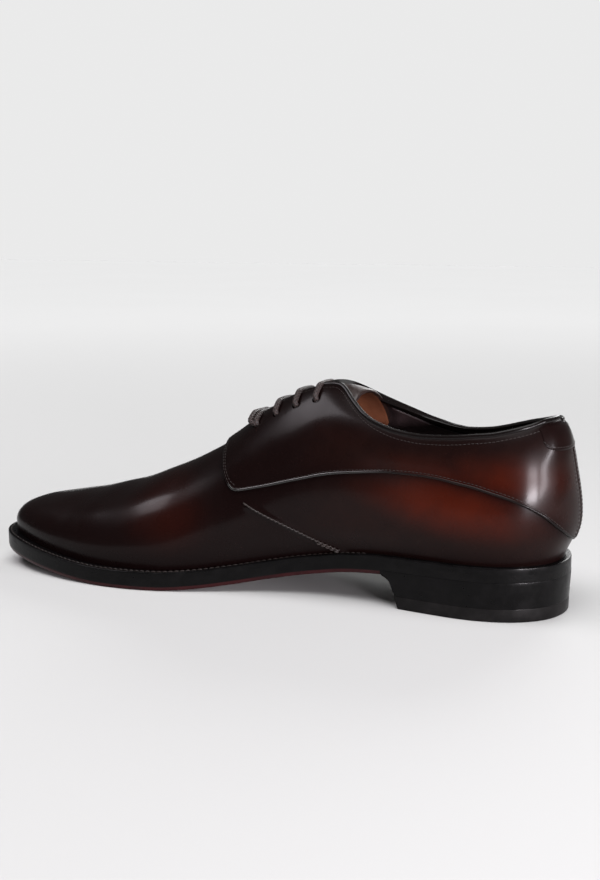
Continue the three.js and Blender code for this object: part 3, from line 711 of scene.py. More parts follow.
# %% A quarter as a solid panel
def quarter_panel(side):
    lines = quarter_frames[side]
    width = np.maximum(lines["width"], 0.05)
    stations = []
    levels = []
    offsets = []
    edge = []
    shares = [np.minimum(step / width, 0.5) for step in rim_steps]
    inner_shares = [shares[-1] + (1 - 2 * shares[-1]) * c for c in np.linspace(0, 1, 58)[1:-1]]
    all_shares = shares + inner_shares + [1 - share for share in shares[::-1]]
    for share in all_shares:
        station, level = place_between(lines, share)
        inside = np.minimum(share, 1 - share) * width
        full = quarter_offset(station, level)
        height = rounded(full, np.minimum(0.75, 0.8 * full), inside)
        seam = lines["t"] * lines["length"]
        height = height - 0.55 * np.exp(-(seam / 0.7) ** 2)
        stations.append(station)
        levels.append(level)
        offsets.append(height)
        edge.append(np.exp(-inside / 5.0) + 0.6 * np.exp(-seam / 5.0))
    for share in np.concatenate([[1.0], np.linspace(0.96, 0.04, 10), [0.0]]):
        station, level = place_between(lines, share)
        stations.append(station)
        levels.append(level)
        offsets.append(np.full(len(width), leather_under))
        edge.append(np.ones(len(width)))
    grid = on_last(np.array(stations), np.array(levels), np.array(offsets))
    rows, columns = grid.shape[:2]
    faces = grid_faces(rows, columns, close_rows=True, turned=side == "outer")
    back = [row * columns for row in range(rows)]
    faces.append(tuple(back if side == "inner" else back[::-1]))
    return piece_from(f"quarter_{side}", grid, faces, values={"rim": np.array(edge)})


quarters = {side: quarter_panel(side) for side in ("inner", "outer")}
tell(*quarters.values())


# %% [markdown]
# ## Eyelets
# The eyelets are plain punched holes with no metal ring. A boolean cut through the closed quarter
# makes each one, because a painted dot would look flat from the side. The facing's thickness
# then shows inside the hole.
# %% Punching the eyelets
eyelet_places = [122.0, 132.4, 142.8, 153.2]
eyelet_out = 11.8
eyelet_bore = 4.2


def spot_on_top(u, v):
    side = "inner" if v >= 0 else "outer"
    runs = np.linspace(4, 17, 261)
    stations = side_stations(runs, side)
    level = level_where(stations, lambda point: abs(v) - np.abs(point[..., 1]), low=3.0)
    place = look_up(last_grid, stations, level)
    order = np.argsort(place[:, 0])
    station = float(np.interp(u, place[order, 0], stations[order]))
    level = float(np.interp(u, place[order, 0], level[order]))
    return np.array(station), np.array(level)


# %% Cutting one hole
def punch(u, v):
    spot = spot_on_top(u, v)
    centre = Vector(to_part(on_last(*spot)).tolist())
    normal = normal_on_last(*spot)
    axis = Vector((-normal[0], -normal[1], normal[2]))
    work = bmesh.new()
    bmesh.ops.create_cone(work, cap_ends=True, segments=28, radius1=eyelet_bore * 0.0005,
                          radius2=eyelet_bore * 0.0005, depth=0.012)
    turn = axis.to_track_quat("Z", "Y").to_matrix().to_4x4()
    bmesh.ops.transform(work, matrix=turn, verts=work.verts)
    bmesh.ops.translate(work, vec=centre, verts=work.verts)
    mesh = bpy.data.meshes.new("punch")
    work.to_mesh(mesh)
    work.free()
    return mesh


# %% Cutting all the holes of a quarter
def punch_eyelets(piece, side):
    tools = bmesh.new()
    for u in eyelet_places:
        tool = punch(u, eyelet_out if side == "inner" else -eyelet_out)
        tools.from_mesh(tool)
        bpy.data.meshes.remove(tool)
    mesh = bpy.data.meshes.new("punches")
    tools.to_mesh(mesh)
    tools.free()
    cutter = bpy.data.objects.new("punches", mesh)
    bpy.context.scene.collection.objects.link(cutter)
    cut = piece.modifiers.new("punches", "BOOLEAN")
    cut.operation = "DIFFERENCE"
    cut.solver = "EXACT"
    cut.object = cutter
    graph = bpy.context.evaluated_depsgraph_get()
    cut_mesh = bpy.data.meshes.new_from_object(piece.evaluated_get(graph))
    piece.modifiers.clear()
    piece.data = cut_mesh
    piece.data.set_sharp_from_angle(angle=math.radians(40))
    bpy.data.objects.remove(cutter)


for side, piece in quarters.items():
    punch_eyelets(piece, side)
print("punched", 2 * len(eyelet_places), "eyelets")


# %% [markdown]
# ## The vamp and side panels
# Below the piped seam and round the toe the leather is one skin over the last. It is cut a little
# larger than what shows, because the quarters are sewn over its edge. Solidify gives it the
# thickness of real upper leather, inwards, so the outer skin stays on the last.
# %% Places for a skin round the last
def even_levels(stations, low, high, count):
    dense = np.linspace(0, 1, 90)
    levels = low + (high - low)[:, None] * dense
    points = look_up(last_grid, np.repeat(stations[:, None], len(dense), axis=1), levels)
    steps = np.linalg.norm(np.diff(points, axis=1), axis=2)
    length = np.concatenate([np.zeros((len(stations), 1)), np.cumsum(steps, axis=1)], axis=1)
    even = np.linspace(0, 1, count)
    return np.array([np.interp(even * length[i, -1], length[i], levels[i])
                     for i in range(len(stations))])


def skin_places(run_count, past_top, lowest, count):
    runs = np.linspace(0, 21, run_count)
    tops = [level_where(side_stations(runs, side), lambda point, side=side: past_top(point, side))
            for side in ("inner", "outer")]
    stations = np.concatenate([runs, ring_size - runs[-2:0:-1]])
    high = np.concatenate([tops[0], tops[1][-2:0:-1]])
    levels = even_levels(stations, lowest, high, count)
    grid_stations = np.repeat(stations[:, None], count, axis=1)
    return grid_stations, levels, look_up(last_grid, grid_stations, levels)


# %% The vamp
def vamp_panel():
    lap = 8.0
    grid_stations, levels, place = skin_places(
        252, lambda point, side: past_quarter_edge(point) - lap, 0.9, 64)
    under = smooth(past_quarter_edge(place), 0.5, 5.0)
    offset = settling(place) - 0.25 * under
    grid = on_last(grid_stations, levels, offset)
    # darker along the piped seam: partly a burnished edge, partly painted shade under the piping
    seam_burnish_and_painted_shade = np.exp(-np.abs(past_quarter_edge(place)) / 6.0)
    # painted shade: a dark band just above the welt stands in for the shade in the crease over the sole
    above_welt = np.maximum(place[..., 2] - feather(place[..., 0]), 0)
    welt_painted_shade = np.exp(-((above_welt / 8.0) ** 1.6))
    faces = grid_faces(*grid.shape[:2], close_rows=True)
    return piece_from("vamp_and_side_panels", grid, faces, merge=0.05,
                      values={"rim": np.maximum(seam_burnish_and_painted_shade, welt_painted_shade)})


vamp = vamp_panel()
thickness = vamp.modifiers.new("leather", "SOLIDIFY")
thickness.thickness = 0.0010
thickness.offset = -1
tell(vamp)

# %% [markdown]
# ## The lining
# Inside, a thin dark lining covers the wall from the insole to the collar. Under the tongue it
# steps outwards, because there the tongue takes the wall's place.
# %% The lining
def in_tongue(point):
    low = above_line(point, tongue_low_table)
    end = point[..., 0] - shoe_length * read_table(tongue_end_table, 1, point[..., 2] / instep_top)
    front = tongue_front * shoe_length - point[..., 0]
    return np.minimum(np.minimum(low, end), front)


def lining_panel():
    past_edge = 1.3
    grid_stations, levels, place = skin_places(
        190, lambda point, side: in_opening(point, side) + past_edge, 1.02, 46)
    outside = smooth(in_tongue(place), -3.0, 0.5)
    offset = -wall + (wall - 0.25) * outside
    grid = on_last(grid_stations, levels, offset)
    faces = grid_faces(*grid.shape[:2], close_rows=True, turned=True)
    return piece_from("lining", grid, faces, merge=0.05)


lining = lining_panel()
lining_wall = lining.modifiers.new("lining_thickness", "SOLIDIFY")
lining_wall.thickness = 0.0006
lining_wall.offset = -1
tell(lining)


# %% [markdown]
# ## The bound collar
# The collar's edge is bound: a narrow strip of dark leather is folded over it and sewn through.
# A strip with that section is swept along the collar, which gives the soft rolled edge and the
# thin line where the strip ends.
# %% Sweeping a strip along a line on the last
def unit(vectors):
    return vectors / np.linalg.norm(vectors, axis=-1, keepdims=True)


def line_frame(points, normals):
    along = unit(np.gradient(points, axis=0))
    out = unit(normals - along * np.sum(normals * along, axis=1)[:, None])
    return out, np.cross(out, along)


def sweep(name, points, normals, sections):
    out, side_ways = line_frame(points, normals)
    grid = points[:, None] + side_ways[:, None] * sections[..., :1] + out[:, None] * sections[..., 1:]
    rows, columns = grid.shape[:2]
    faces = grid_faces(rows, columns, close_columns=True, turned=True)
    faces.append(tuple(range(columns)))
    faces.append(tuple((rows - 1) * columns + j for j in range(columns))[::-1])
    return piece_from(name, grid, faces, merge=0.005, smooth_angle=50.0)


# %% Binding of the collar
def collar_path(side, until):
    lines = quarter_frames[side]
    station, level = lines["high"]
    points = look_up(last_grid, station, level)
    keep = points[:, 0] < until
    keep[0] = True
    stop = int(np.argmax(~keep)) if (~keep).any() else len(keep)
    return station[:stop], level[:stop]


def binding_strip():
    runs = []
    for side in ("outer", "inner"):
        station, level = collar_path(side, 121.0)
        points = look_up(last_grid, station, level)
        normals = normal_on_last(station, level)
        rise = quarter_rise(points) + settling(points)
        keep = np.concatenate([[True], np.linalg.norm(np.diff(points, axis=0), axis=1) > 0.2])
        runs.append((points[keep], normals[keep], rise[keep]))
    outer, inner = runs
    points = np.concatenate([outer[0][::-1], inner[0][1:]])
    normals = np.concatenate([outer[1][::-1], inner[1][1:]])
    rise = np.concatenate([outer[2][::-1], inner[2][1:]])
    sections = []
    for q in rise:
        sections.append([
            [-1.75, q - 0.30], [-1.75, q + 0.10], [-1.6, q + 0.34], [-1.2, q + 0.48],
            [-0.7, q + 0.50], [-0.1, q + 0.34], [0.50, q - 0.10], [0.80, q - 0.8],
            [0.80, -wall + 0.5], [0.55, -wall - 0.1], [-0.2, -wall - 0.5], [-1.6, -wall - 0.55],
            [-2.4, -wall - 0.45], [-2.6, -wall + 0.3],
        ])
    return sweep("collar_binding", points, normals, np.array(sections))


binding = binding_strip()
tell(binding)


# %% [markdown]
# ## The tab over the back seam
# A small rounded tab of the same leather closes the back seam under the collar, where the foot
# pulls hardest.
# %% Back tab
tab_rise = 0.3
tab_round = 0.7


def tab_panel():
    reach = 2.55
    runs = np.concatenate([np.linspace(-reach, -reach + 0.12, 5)[:-1],
                           np.linspace(-reach + 0.12, reach - 0.12, 90),
                           np.linspace(reach - 0.12, reach, 5)[1:]])
    side_of = np.where(runs >= 0, 1, 2)
    low = level_where(runs, lambda point: above_line(point, tab_table), low=2.0)
    high_inner = level_where(runs, lambda point: above_line(point, topline_table, 1) + 2.0)
    high_outer = level_where(runs, lambda point: above_line(point, topline_table, 2) + 2.0)
    high = np.where(side_of == 1, high_inner, high_outer)
    keep = low < high - 0.02
    runs, low, high = runs[keep], low[keep], high[keep]
    rim = np.linalg.norm(np.diff(on_last(runs, low), axis=0), axis=1)
    along = np.concatenate([[0], np.cumsum(rim)])
    end_near = np.minimum(along, along[-1] - along)
    width = np.linalg.norm(on_last(runs, high) - on_last(runs, low), axis=1)
    shares = [np.minimum(step / width, 0.9) for step in rim_steps]
    shares += [shares[-1] + (1 - shares[-1]) * c for c in np.linspace(0, 1, 18)[1:]]
    stations = []
    levels = []
    offsets = []
    rims = []
    for share in shares:
        level = low * (1 - share) + high * share
        place = look_up(last_grid, runs, level)
        inside = np.minimum(share * width, end_near + 0.02)
        stations.append(runs)
        levels.append(level)
        offsets.append(rounded(quarter_rise(place) + tab_rise, tab_round, inside))
        rims.append(np.exp(-inside / 4.0))
    for share in (1.0, 0.5, 0.0):
        stations.append(runs)
        levels.append(low * (1 - share) + high * share)
        offsets.append(np.full(len(runs), 0.3))
        rims.append(np.ones(len(runs)))
    grid = on_last(np.array(stations), np.array(levels), np.array(offsets))
    rows, columns = grid.shape[:2]
    faces = grid_faces(rows, columns, close_rows=True)
    faces.append(tuple(row * columns for row in range(rows)))
    faces.append(tuple(row * columns + columns - 1 for row in range(rows))[::-1])
    piece = piece_from("back_tab", grid, faces, values={"rim": np.array(rims)})
    return piece, (runs, low, end_near)


back_tab, tab_lines = tab_panel()
tell(back_tab)


# %% [markdown]
# ## The tongue
# The tongue lies under the facings, sewn to the vamp at the throat and free at the ankle. It is
# ruled from its free end to the throat over the ridge, as one sheet that is dark outside and tan
# inside, where its lining shows above the collar. The free end is cut on a slant, a few
# millimetres further forward on the inner side.
# %% Tongue
def tongue_outline():
    halves = []
    for side in ("inner", "outer"):
        runs = np.linspace(5.2, 12.4, 1400)
        stations = side_stations(runs, side)
        low = level_where(stations, in_tongue, low=2.0)
        level_in = np.minimum(low + 0.03, 5.0)
        inside = in_tongue(look_up(last_grid, stations, level_in)) > -0.2
        first = int(np.argmax(inside))
        stop = len(inside) - int(np.argmax(inside[::-1]))
        halves.append((runs[first:stop], low[first:stop]))
    return halves


end_slant = [8.0, 7.0, 5.0, 2.4, 0.6, 0.0]
tongue_length = 77.0
tongue_middle = -1.55
tongue_half = 1.1


def tongue_sheet():
    inner, outer = tongue_outline()
    back = max(inner[0][0], outer[0][0])
    front = min(inner[0][-1], outer[0][-1])
    share = np.concatenate([np.linspace(0, 0.06, 12)[:-1], np.linspace(0.06, 1, 90)])
    across = np.linspace(-1, 1, 81)
    cut_back = np.interp(across, [-1, -0.55, -0.2, 0.0, 0.25, 1.0], end_slant) / tongue_length
    station = back + (front - back) * (share[:, None] + (1 - share[:, None]) * cut_back[None])
    reach_in = 5.0 - np.interp(station, inner[0], inner[1])
    reach_out = 5.0 - np.interp(station, outer[0], outer[1])
    level = 5.0 + across[None] * np.where(across[None] < 0, reach_in, reach_out)
    return station, level


# %% The tongue as a solid sheet
def tongue_piece():
    station, level = tongue_sheet()
    place = look_up(last_grid, station, level)
    rim = np.minimum(np.arange(station.shape[0])[:, None], 6) / 6.0
    side_rim = np.minimum(np.minimum(np.arange(81), np.arange(81)[::-1])[None], 3) / 3.0
    round_off = np.sqrt(np.clip(1 - (1 - np.minimum(rim, side_rim)) ** 2, 0, 1))
    outer_face = on_last(station, level, tongue_middle + tongue_half * round_off)
    inner_face = on_last(station, level, tongue_middle - tongue_half * round_off)
    rows, columns = outer_face.shape[:2]
    points = np.concatenate([outer_face, inner_face])
    faces = grid_faces(rows, columns)
    count = rows * columns
    faces += [tuple(count + k for k in face[::-1]) for face in grid_faces(rows, columns)]
    border = (list(range(columns)) + [i * columns + columns - 1 for i in range(1, rows)]
              + [(rows - 1) * columns + j for j in range(columns - 2, -1, -1)]
              + [i * columns for i in range(rows - 2, 0, -1)])
    for a, b in zip(border, border[1:] + border[:1]):
        faces.append((b, a, count + a, count + b))
    tan_part = np.ones(inner_face.shape[:2])
    tan_part[:4] = 0.0
    tan_part[:, :1] = 0.0
    tan_part[:, -1:] = 0.0
    lining_side = np.concatenate([np.zeros(outer_face.shape[:2]), tan_part])
    return piece_from("tongue_leather", points, faces, merge=0.01, values={"inside": lining_side})


tongue = tongue_piece()
tell(tongue)


# %% [markdown]
# ## Stitches
# A stitch is a short bridge of thread that dips into the leather at both ends. Hundreds of them
# follow the seams, so a Geometry Nodes tree sets one small bridge on each step of a path. The
# path is a line of vertices that also carries the leather's normal, so that every stitch lies
# flat on its panel. The tree ends by realizing the instances, because an export needs plain mesh.
# %% Helpers for node trees
def tree_socket(tree, name, kind, default=None, way="INPUT"):
    socket = tree.interface.new_socket(name=name, in_out=way, socket_type=kind)
    if default is not None:
        socket.default_value = default
    return socket


def new_node(tree, kind, **settings):
    node = tree.nodes.new(kind)
    for name, value in settings.items():
        setattr(node, name, value)
    return node


def times(tree, factor):
    node = new_node(tree, "ShaderNodeMath", operation="MULTIPLY")
    node.inputs[1].default_value = factor
    return node


def wire(tree, rows):
    for source, output, target, socket in rows:
        tree.links.new(source.outputs[output], target.inputs[socket])


# %% Geometry Nodes tree for a row of stitches
def stitch_tree():
    tree = bpy.data.node_groups.new("row_of_stitches", "GeometryNodeTree")
    tree_socket(tree, "Path", "NodeSocketGeometry")
    tree_socket(tree, "Pitch", "NodeSocketFloat", 0.0021)
    tree_socket(tree, "Stitch Length", "NodeSocketFloat", 0.0016)
    tree_socket(tree, "Thread Radius", "NodeSocketFloat", 0.00022)
    tree_socket(tree, "Thread", "NodeSocketMaterial")
    tree_socket(tree, "Stitches", "NodeSocketGeometry", way="OUTPUT")
    given = new_node(tree, "NodeGroupInput")
    to_curve = new_node(tree, "GeometryNodeMeshToCurve")
    steps = new_node(tree, "GeometryNodeResampleCurve", mode="LENGTH")
    half, back_half, dip, crest = (times(tree, factor) for factor in (0.5, -0.5, -1.2, 2.2))
    start = new_node(tree, "ShaderNodeCombineXYZ")
    middle = new_node(tree, "ShaderNodeCombineXYZ")
    end = new_node(tree, "ShaderNodeCombineXYZ")
    bridge = new_node(tree, "GeometryNodeCurveQuadraticBezier")
    bridge.inputs["Resolution"].default_value = 5
    thread = new_node(tree, "GeometryNodeCurvePrimitiveCircle", mode="RADIUS")
    thread.inputs["Resolution"].default_value = 6
    body = new_node(tree, "GeometryNodeCurveToMesh")
    body.inputs["Fill Caps"].default_value = True
    tangent = new_node(tree, "GeometryNodeInputTangent")
    lay = new_node(tree, "GeometryNodeInputNamedAttribute", data_type="FLOAT_VECTOR")
    lay.inputs["Name"].default_value = "lay"
    face_along = new_node(tree, "FunctionNodeAlignRotationToVector", axis="X")
    face_out = new_node(tree, "FunctionNodeAlignRotationToVector", axis="Z", pivot_axis="X")
    place = new_node(tree, "GeometryNodeInstanceOnPoints")
    real = new_node(tree, "GeometryNodeRealizeInstances")
    smooth_faces = new_node(tree, "GeometryNodeSetShadeSmooth")
    paint = new_node(tree, "GeometryNodeSetMaterial")
    result = new_node(tree, "NodeGroupOutput")
    wire(tree, [
        (given, "Path", to_curve, "Mesh"), (to_curve, "Curve", steps, "Curve"),
        (given, "Pitch", steps, "Length"), (given, "Stitch Length", half, 0),
        (given, "Stitch Length", back_half, 0), (given, "Thread Radius", dip, 0),
        (given, "Thread Radius", crest, 0), (back_half, 0, start, "X"), (dip, 0, start, "Z"),
        (crest, 0, middle, "Z"), (half, 0, end, "X"), (dip, 0, end, "Z"),
        (start, 0, bridge, "Start"), (middle, 0, bridge, "Middle"), (end, 0, bridge, "End"),
        (bridge, "Curve", body, "Curve"), (given, "Thread Radius", thread, "Radius"),
        (thread, "Curve", body, "Profile Curve"), (steps, "Curve", place, "Points"),
        (body, "Mesh", place, "Instance"), (tangent, 0, face_along, "Vector"),
        (face_along, "Rotation", face_out, "Rotation"), (lay, "Attribute", face_out, "Vector"),
        (face_out, "Rotation", place, "Rotation"), (place, "Instances", real, "Geometry"),
        (real, "Geometry", smooth_faces, "Geometry"),
        (smooth_faces, "Geometry", paint, "Geometry"), (given, "Thread", paint, "Material"),
        (paint, "Geometry", result, "Stitches"),
    ])
    return tree


# %% Paths and finished pieces
def path_object(name, rows):
    points = []
    lays = []
    edges = []
    for row, normals in rows:
        base = len(points)
        points += to_part(row).tolist()
        lays += (np.asarray(normals) * np.array([-1, -1, 1])).tolist()
        edges += [(base + k, base + k + 1) for k in range(len(row) - 1)]
    mesh = bpy.data.meshes.new(name)
    mesh.from_pydata(points, edges, [])
    layer = mesh.attributes.new("lay", "FLOAT_VECTOR", "POINT")
    layer.data.foreach_set("vector", np.array(lays).ravel())
    piece = bpy.data.objects.new(name, mesh)
    bpy.context.scene.collection.objects.link(piece)
    return piece


def set_input(modifier, name, value):
    for item in modifier.node_group.interface.items_tree:
        if item.item_type == "SOCKET" and item.in_out == "INPUT" and item.name == name:
            modifier[item.identifier] = value


def made_by(piece, tree, **inputs):
    modifier = piece.modifiers.new(tree.name, "NODES")
    modifier.node_group = tree
    for name, value in inputs.items():
        set_input(modifier, name.replace("_", " "), value)
    graph = bpy.context.evaluated_depsgraph_get()
    mesh = bpy.data.meshes.new_from_object(piece.evaluated_get(graph))
    piece.modifiers.clear()
    piece.data = mesh
    return piece


stitches = stitch_tree()
print(stitches.name, "has", len(stitches.nodes), "nodes")


# %% [markdown]
# ## Piping and laces
# Piping and laces are round cords that follow a path, so they share a second tree. It sweeps a
# circle along the path and keeps two things for the material: how far along the cord a point is,
# and where on the circle it sits. The braid of the lace is drawn from those.
# %% Geometry Nodes tree for a round cord
def cord_tree():
    tree = bpy.data.node_groups.new("round_cord", "GeometryNodeTree")
    tree_socket(tree, "Path", "NodeSocketGeometry")
    tree_socket(tree, "Radius", "NodeSocketFloat", 0.0014)
    tree_socket(tree, "Step", "NodeSocketFloat", 0.0004)
    tree_socket(tree, "Cord Material", "NodeSocketMaterial")
    tree_socket(tree, "Cord", "NodeSocketGeometry", way="OUTPUT")
    given = new_node(tree, "NodeGroupInput")
    to_curve = new_node(tree, "GeometryNodeMeshToCurve")
    steps = new_node(tree, "GeometryNodeResampleCurve", mode="LENGTH")
    measure = new_node(tree, "GeometryNodeSplineParameter")
    keep_along = new_node(tree, "GeometryNodeStoreNamedAttribute", data_type="FLOAT", domain="POINT")
    keep_along.inputs["Name"].default_value = "along"
    circle = new_node(tree, "GeometryNodeCurvePrimitiveCircle", mode="RADIUS")
    circle.inputs["Resolution"].default_value = 18
    where = new_node(tree, "GeometryNodeInputPosition")
    keep_round = new_node(tree, "GeometryNodeStoreNamedAttribute", data_type="FLOAT_VECTOR",
                          domain="POINT")
    keep_round.inputs["Name"].default_value = "round"
    body = new_node(tree, "GeometryNodeCurveToMesh")
    body.inputs["Fill Caps"].default_value = True
    smooth_faces = new_node(tree, "GeometryNodeSetShadeSmooth")
    paint = new_node(tree, "GeometryNodeSetMaterial")
    result = new_node(tree, "NodeGroupOutput")
    wire(tree, [
        (given, "Path", to_curve, "Mesh"), (to_curve, "Curve", steps, "Curve"),
        (given, "Step", steps, "Length"), (steps, "Curve", keep_along, "Geometry"),
        (measure, "Length", keep_along, "Value"), (given, "Radius", circle, "Radius"),
        (circle, "Curve", keep_round, "Geometry"), (where, "Position", keep_round, "Value"),
        (keep_along, "Geometry", body, "Curve"), (keep_round, "Geometry", body, "Profile Curve"),
        (body, "Mesh", smooth_faces, "Geometry"), (smooth_faces, "Geometry", paint, "Geometry"),
        (given, "Cord Material", paint, "Material"), (paint, "Geometry", result, "Cord"),
    ])
    return tree


cords = cord_tree()
print(cords.name, "has", len(cords.nodes), "nodes")


# %% [markdown]
# ## The sole
# The leather outsole, the welt, the heel stack and the rubber top piece share one outline. Each
# is a pile of rings at different insets and heights, so a few rows close to an edge are enough to
# round it as the trimming knife does.
# %% Rings round the sole
sole_line = ring_at(fine_stations)[0][:, :2]
sole_line = sanded_round(sole_line[:, None], 4.0)[:, 0]
sole_along = unit(np.roll(sole_line, -1, axis=0) - np.roll(sole_line, 1, axis=0))
sole_out = np.stack([-sole_along[:, 1], sole_along[:, 0]], axis=1)
every_second = slice(0, None, 2)
sole_rims = ring_at(fine_stations)[0][:, 4]


def sole_ring(inset, height):
    edge = sole_line - sole_out * np.asarray(inset, float).reshape(-1, 1)
    return np.column_stack([edge, tread_height(edge[:, 0]) + height])[every_second]


def ring_cap(base, count, flip):
    faces = []
    half = count // 2
    for index in range(half):
        quad = [base + index, base + (count - index) % count, base + (count - index - 1) % count,
                base + index + 1]
        quad = list(dict.fromkeys(quad))
        if len(quad) > 2:
            faces.append(tuple(quad[::-1] if flip else quad))
    return faces


# %% Piling rings into a solid piece
def pile(name, rings, capped=True):
    points = np.array(rings)
    layers, count = points.shape[:2]
    faces = grid_faces(layers, count, close_rows=not capped, close_columns=True, turned=True)
    if capped:
        faces += ring_cap(0, count, False)
        faces += ring_cap((layers - 1) * count, count, True)
    return piece_from(name, points, faces, merge=0.002, smooth_angle=35.0)


# inset and height of each ring
outsole = pile("leather_outsole", [sole_ring(inset, height) for inset, height in (
    (1.3, 0.0), (0.9, 0.06), (0.35, 0.9), (0.08, 1.8), (0.0, 2.1), (0.0, 3.2), (0.0, 5.4),
    (0.0, 6.24), (11.0, 6.24), (11.2, 9.0), (12.0, 9.2),
)])
welt = pile("welt_strip", [sole_ring(inset, height) for inset, height in (
    (0.0, 6.22), (0.0, 7.4), (0.0, 8.6), (0.12, 9.1), (0.45, 9.36), (1.0, 9.4), (10.5, 9.4),
    (10.7, 9.2), (10.7, 6.22),
)], capped=False)
sock_inset = sole_rims + wall + 0.7
sock = pile("sock", [sole_ring(sock_inset + more, height) for more, height in (
    (0.4, 9.8), (0.0, 10.2), (0.0, 12.2), (0.3, 12.6), (0.9, 12.7),
)])
tell(outsole, welt, sock)


# %% [markdown]
# ## The heel
# The heel's front, the breast, is hollowed and leans forward under the waist. Every layer of the
# heel is the sole's outline behind that breast, closed by an arc, with the same count of points.
# %% Heel layers
breast_centre = 140.0
breast_radius = 70.0
breast_lean = 5.0
breast_flare = 3.0


def heel_ring(inset, height, follow_seat):
    edge = sole_line - sole_out * inset
    height_mean = height if not follow_seat else height * seat_height
    lean = breast_lean * np.clip(height_mean / seat_height, 0, 1) ** 1.2
    lean = lean + breast_flare * np.clip((height_mean - 13.2) / 3.0, 0, 1) ** 2
    radius = breast_radius - lean
    behind = np.hypot(edge[:, 0] - breast_centre, edge[:, 1]) > radius
    behind &= edge[:, 0] < 100
    half = len(edge) // 2
    inner = edge[:half][behind[:half]]
    outer = edge[half:][behind[half:]]
    rim = np.concatenate([outer, inner])
    steps = np.concatenate([[0], np.cumsum(np.linalg.norm(np.diff(rim, axis=0), axis=1))])
    even = np.linspace(0, steps[-1], 150)
    rim = np.stack([np.interp(even, steps, rim[:, 0]), np.interp(even, steps, rim[:, 1])], axis=1)
    v = np.linspace(rim[-1, 1], rim[0, 1], 42)[1:-1]
    arc = np.stack([breast_centre - np.sqrt(radius**2 - v**2), v], axis=1)
    plan = np.concatenate([rim, arc])
    seat = tread_height(plan[:, 0])
    z = height * seat if follow_seat else np.full(len(plan), float(height))
    return np.column_stack([plan, z])


# %% Top piece and lifts
def heel_pile(name, rings):
    points = np.array(rings)
    layers, count = points.shape[:2]
    faces = grid_faces(layers, count, close_columns=True)
    faces.append(tuple(range(count))[::-1])
    faces.append(tuple((layers - 1) * count + j for j in range(count)))
    return piece_from(name, points, faces, merge=0.002, smooth_angle=35.0)


# inset and height of each ring, where the lifts end with shares of the seat's height
top_piece = heel_pile("rubber_top_piece", [heel_ring(inset, height, False) for inset, height in (
    (1.3, 0.0), (0.95, 0.1), (0.75, 0.45), (0.7, 3.0), (0.64, 5.9), (0.70, 6.15), (0.8, 6.22),
)])
level_lifts = [heel_ring(inset, height, False) for inset, height in (
    (0.66, 6.28), (0.60, 6.36), (0.56, 6.8), (0.42, 9.0),
)]
seat_lifts = [heel_ring(inset, share, True) for inset, share in (
    (0.25, 0.72), (0.12, 0.85), (0.05, 0.93), (0.0, 0.985), (-0.06, 1.06), (-0.08, 1.14),
    (-0.02, 1.155),
)]
heel_stack = heel_pile("heel_lifts", level_lifts + seat_lifts)
tell(top_piece, heel_stack)


# %% [markdown]
# ## Rows of stitches
# Now the stitch tree gets its paths: along both edges of the quarters, round the tab, beside the
# back seam, along the slanting seam on the inner side and round the welt.
# %% Paths of the seams
def row_at(side, inside, columns, from_top=False):
    station, level = across_quarter(side, inside, columns, from_top)
    points = on_last(station, level, quarter_offset(station, level))
    return points, normal_on_last(station, level)


def long_enough(row):
    points, normals = row
    keep = np.concatenate([[True], np.linalg.norm(np.diff(points, axis=0), axis=1) > 0.02])
    return points[keep], normals[keep]


def part_of(row, test):
    points, normals = row
    keep = test(points)
    return points[keep], normals[keep]


# %% Rows along the quarters and the tab
seam_margin = 1.9
second_margin = 3.6
collar_margin = 2.6
upper_rows = []
for side in ("inner", "outer"):
    upper_rows.append(long_enough(row_at(side, seam_margin, slice(6, -8))))
    upper_rows.append(long_enough(row_at(side, collar_margin, slice(4, -8), from_top=True)))
    front = part_of(row_at(side, second_margin, slice(6, -8)), lambda p: p[:, 0] > 158)
    upper_rows.append(long_enough(front))

seam_levels = np.linspace(0, 1, 40)
for side in ("inner", "outer"):
    for run in (0.10, 0.21):
        station = np.full(len(seam_levels), run if side == "inner" else ring_size - run)
        low = level_where(station[:1], past_quarter_edge)[0]
        high = level_where(station[:1], lambda point: above_line(point, tab_table))[0]
        level = low + 0.04 + (high - low - 0.05) * seam_levels
        upper_rows.append((on_last(station, level, quarter_offset(station, level)),
                           normal_on_last(station, level)))

tab_runs, tab_low, tab_end = tab_lines
inside_tab = tab_end > 1.6
tab_level = tab_low[inside_tab]
level_step = 0.03
slope = np.linalg.norm(on_last(tab_runs[inside_tab], tab_level + level_step)
                       - on_last(tab_runs[inside_tab], tab_level), axis=1) / level_step
stitch_margin = 1.5
level = tab_level + stitch_margin / slope
place = look_up(last_grid, tab_runs[inside_tab], level)
upper_rows.append((on_last(tab_runs[inside_tab], level, quarter_rise(place) + tab_rise),
                   normal_on_last(tab_runs[inside_tab], level)))

slant_spots = spot_on_inner_side(slant_path[:, 0], slant_path[:, 1])
print("seams have", len(upper_rows), "rows of stitches")

# %% [markdown]
# ## Materials
# Polished calf is a stack of things: a dark ground, a warm patina rubbed into it, rims that were
# burnished nearly black, a very fine grain, and a wax polish on top. On the vamp the rim darkening
# is also painted shade, above the welt and under the piping, and the polish thins with it. The
# grain and the patina are node groups, because the tongue, the binding and the tab use them too,
# each with its own values.
# %% Node helpers
def material_called(name, roughness=0.3, coat=0.0, coat_roughness=0.1, specular=0.5):
    material = bpy.data.materials.new(name)
    material.use_nodes = True
    shader = material.node_tree.nodes["Principled BSDF"]
    shader.inputs["Roughness"].default_value = roughness
    shader.inputs["Coat Weight"].default_value = coat
    shader.inputs["Coat Roughness"].default_value = coat_roughness
    shader.inputs["Specular IOR Level"].default_value = specular
    return material, material.node_tree, shader


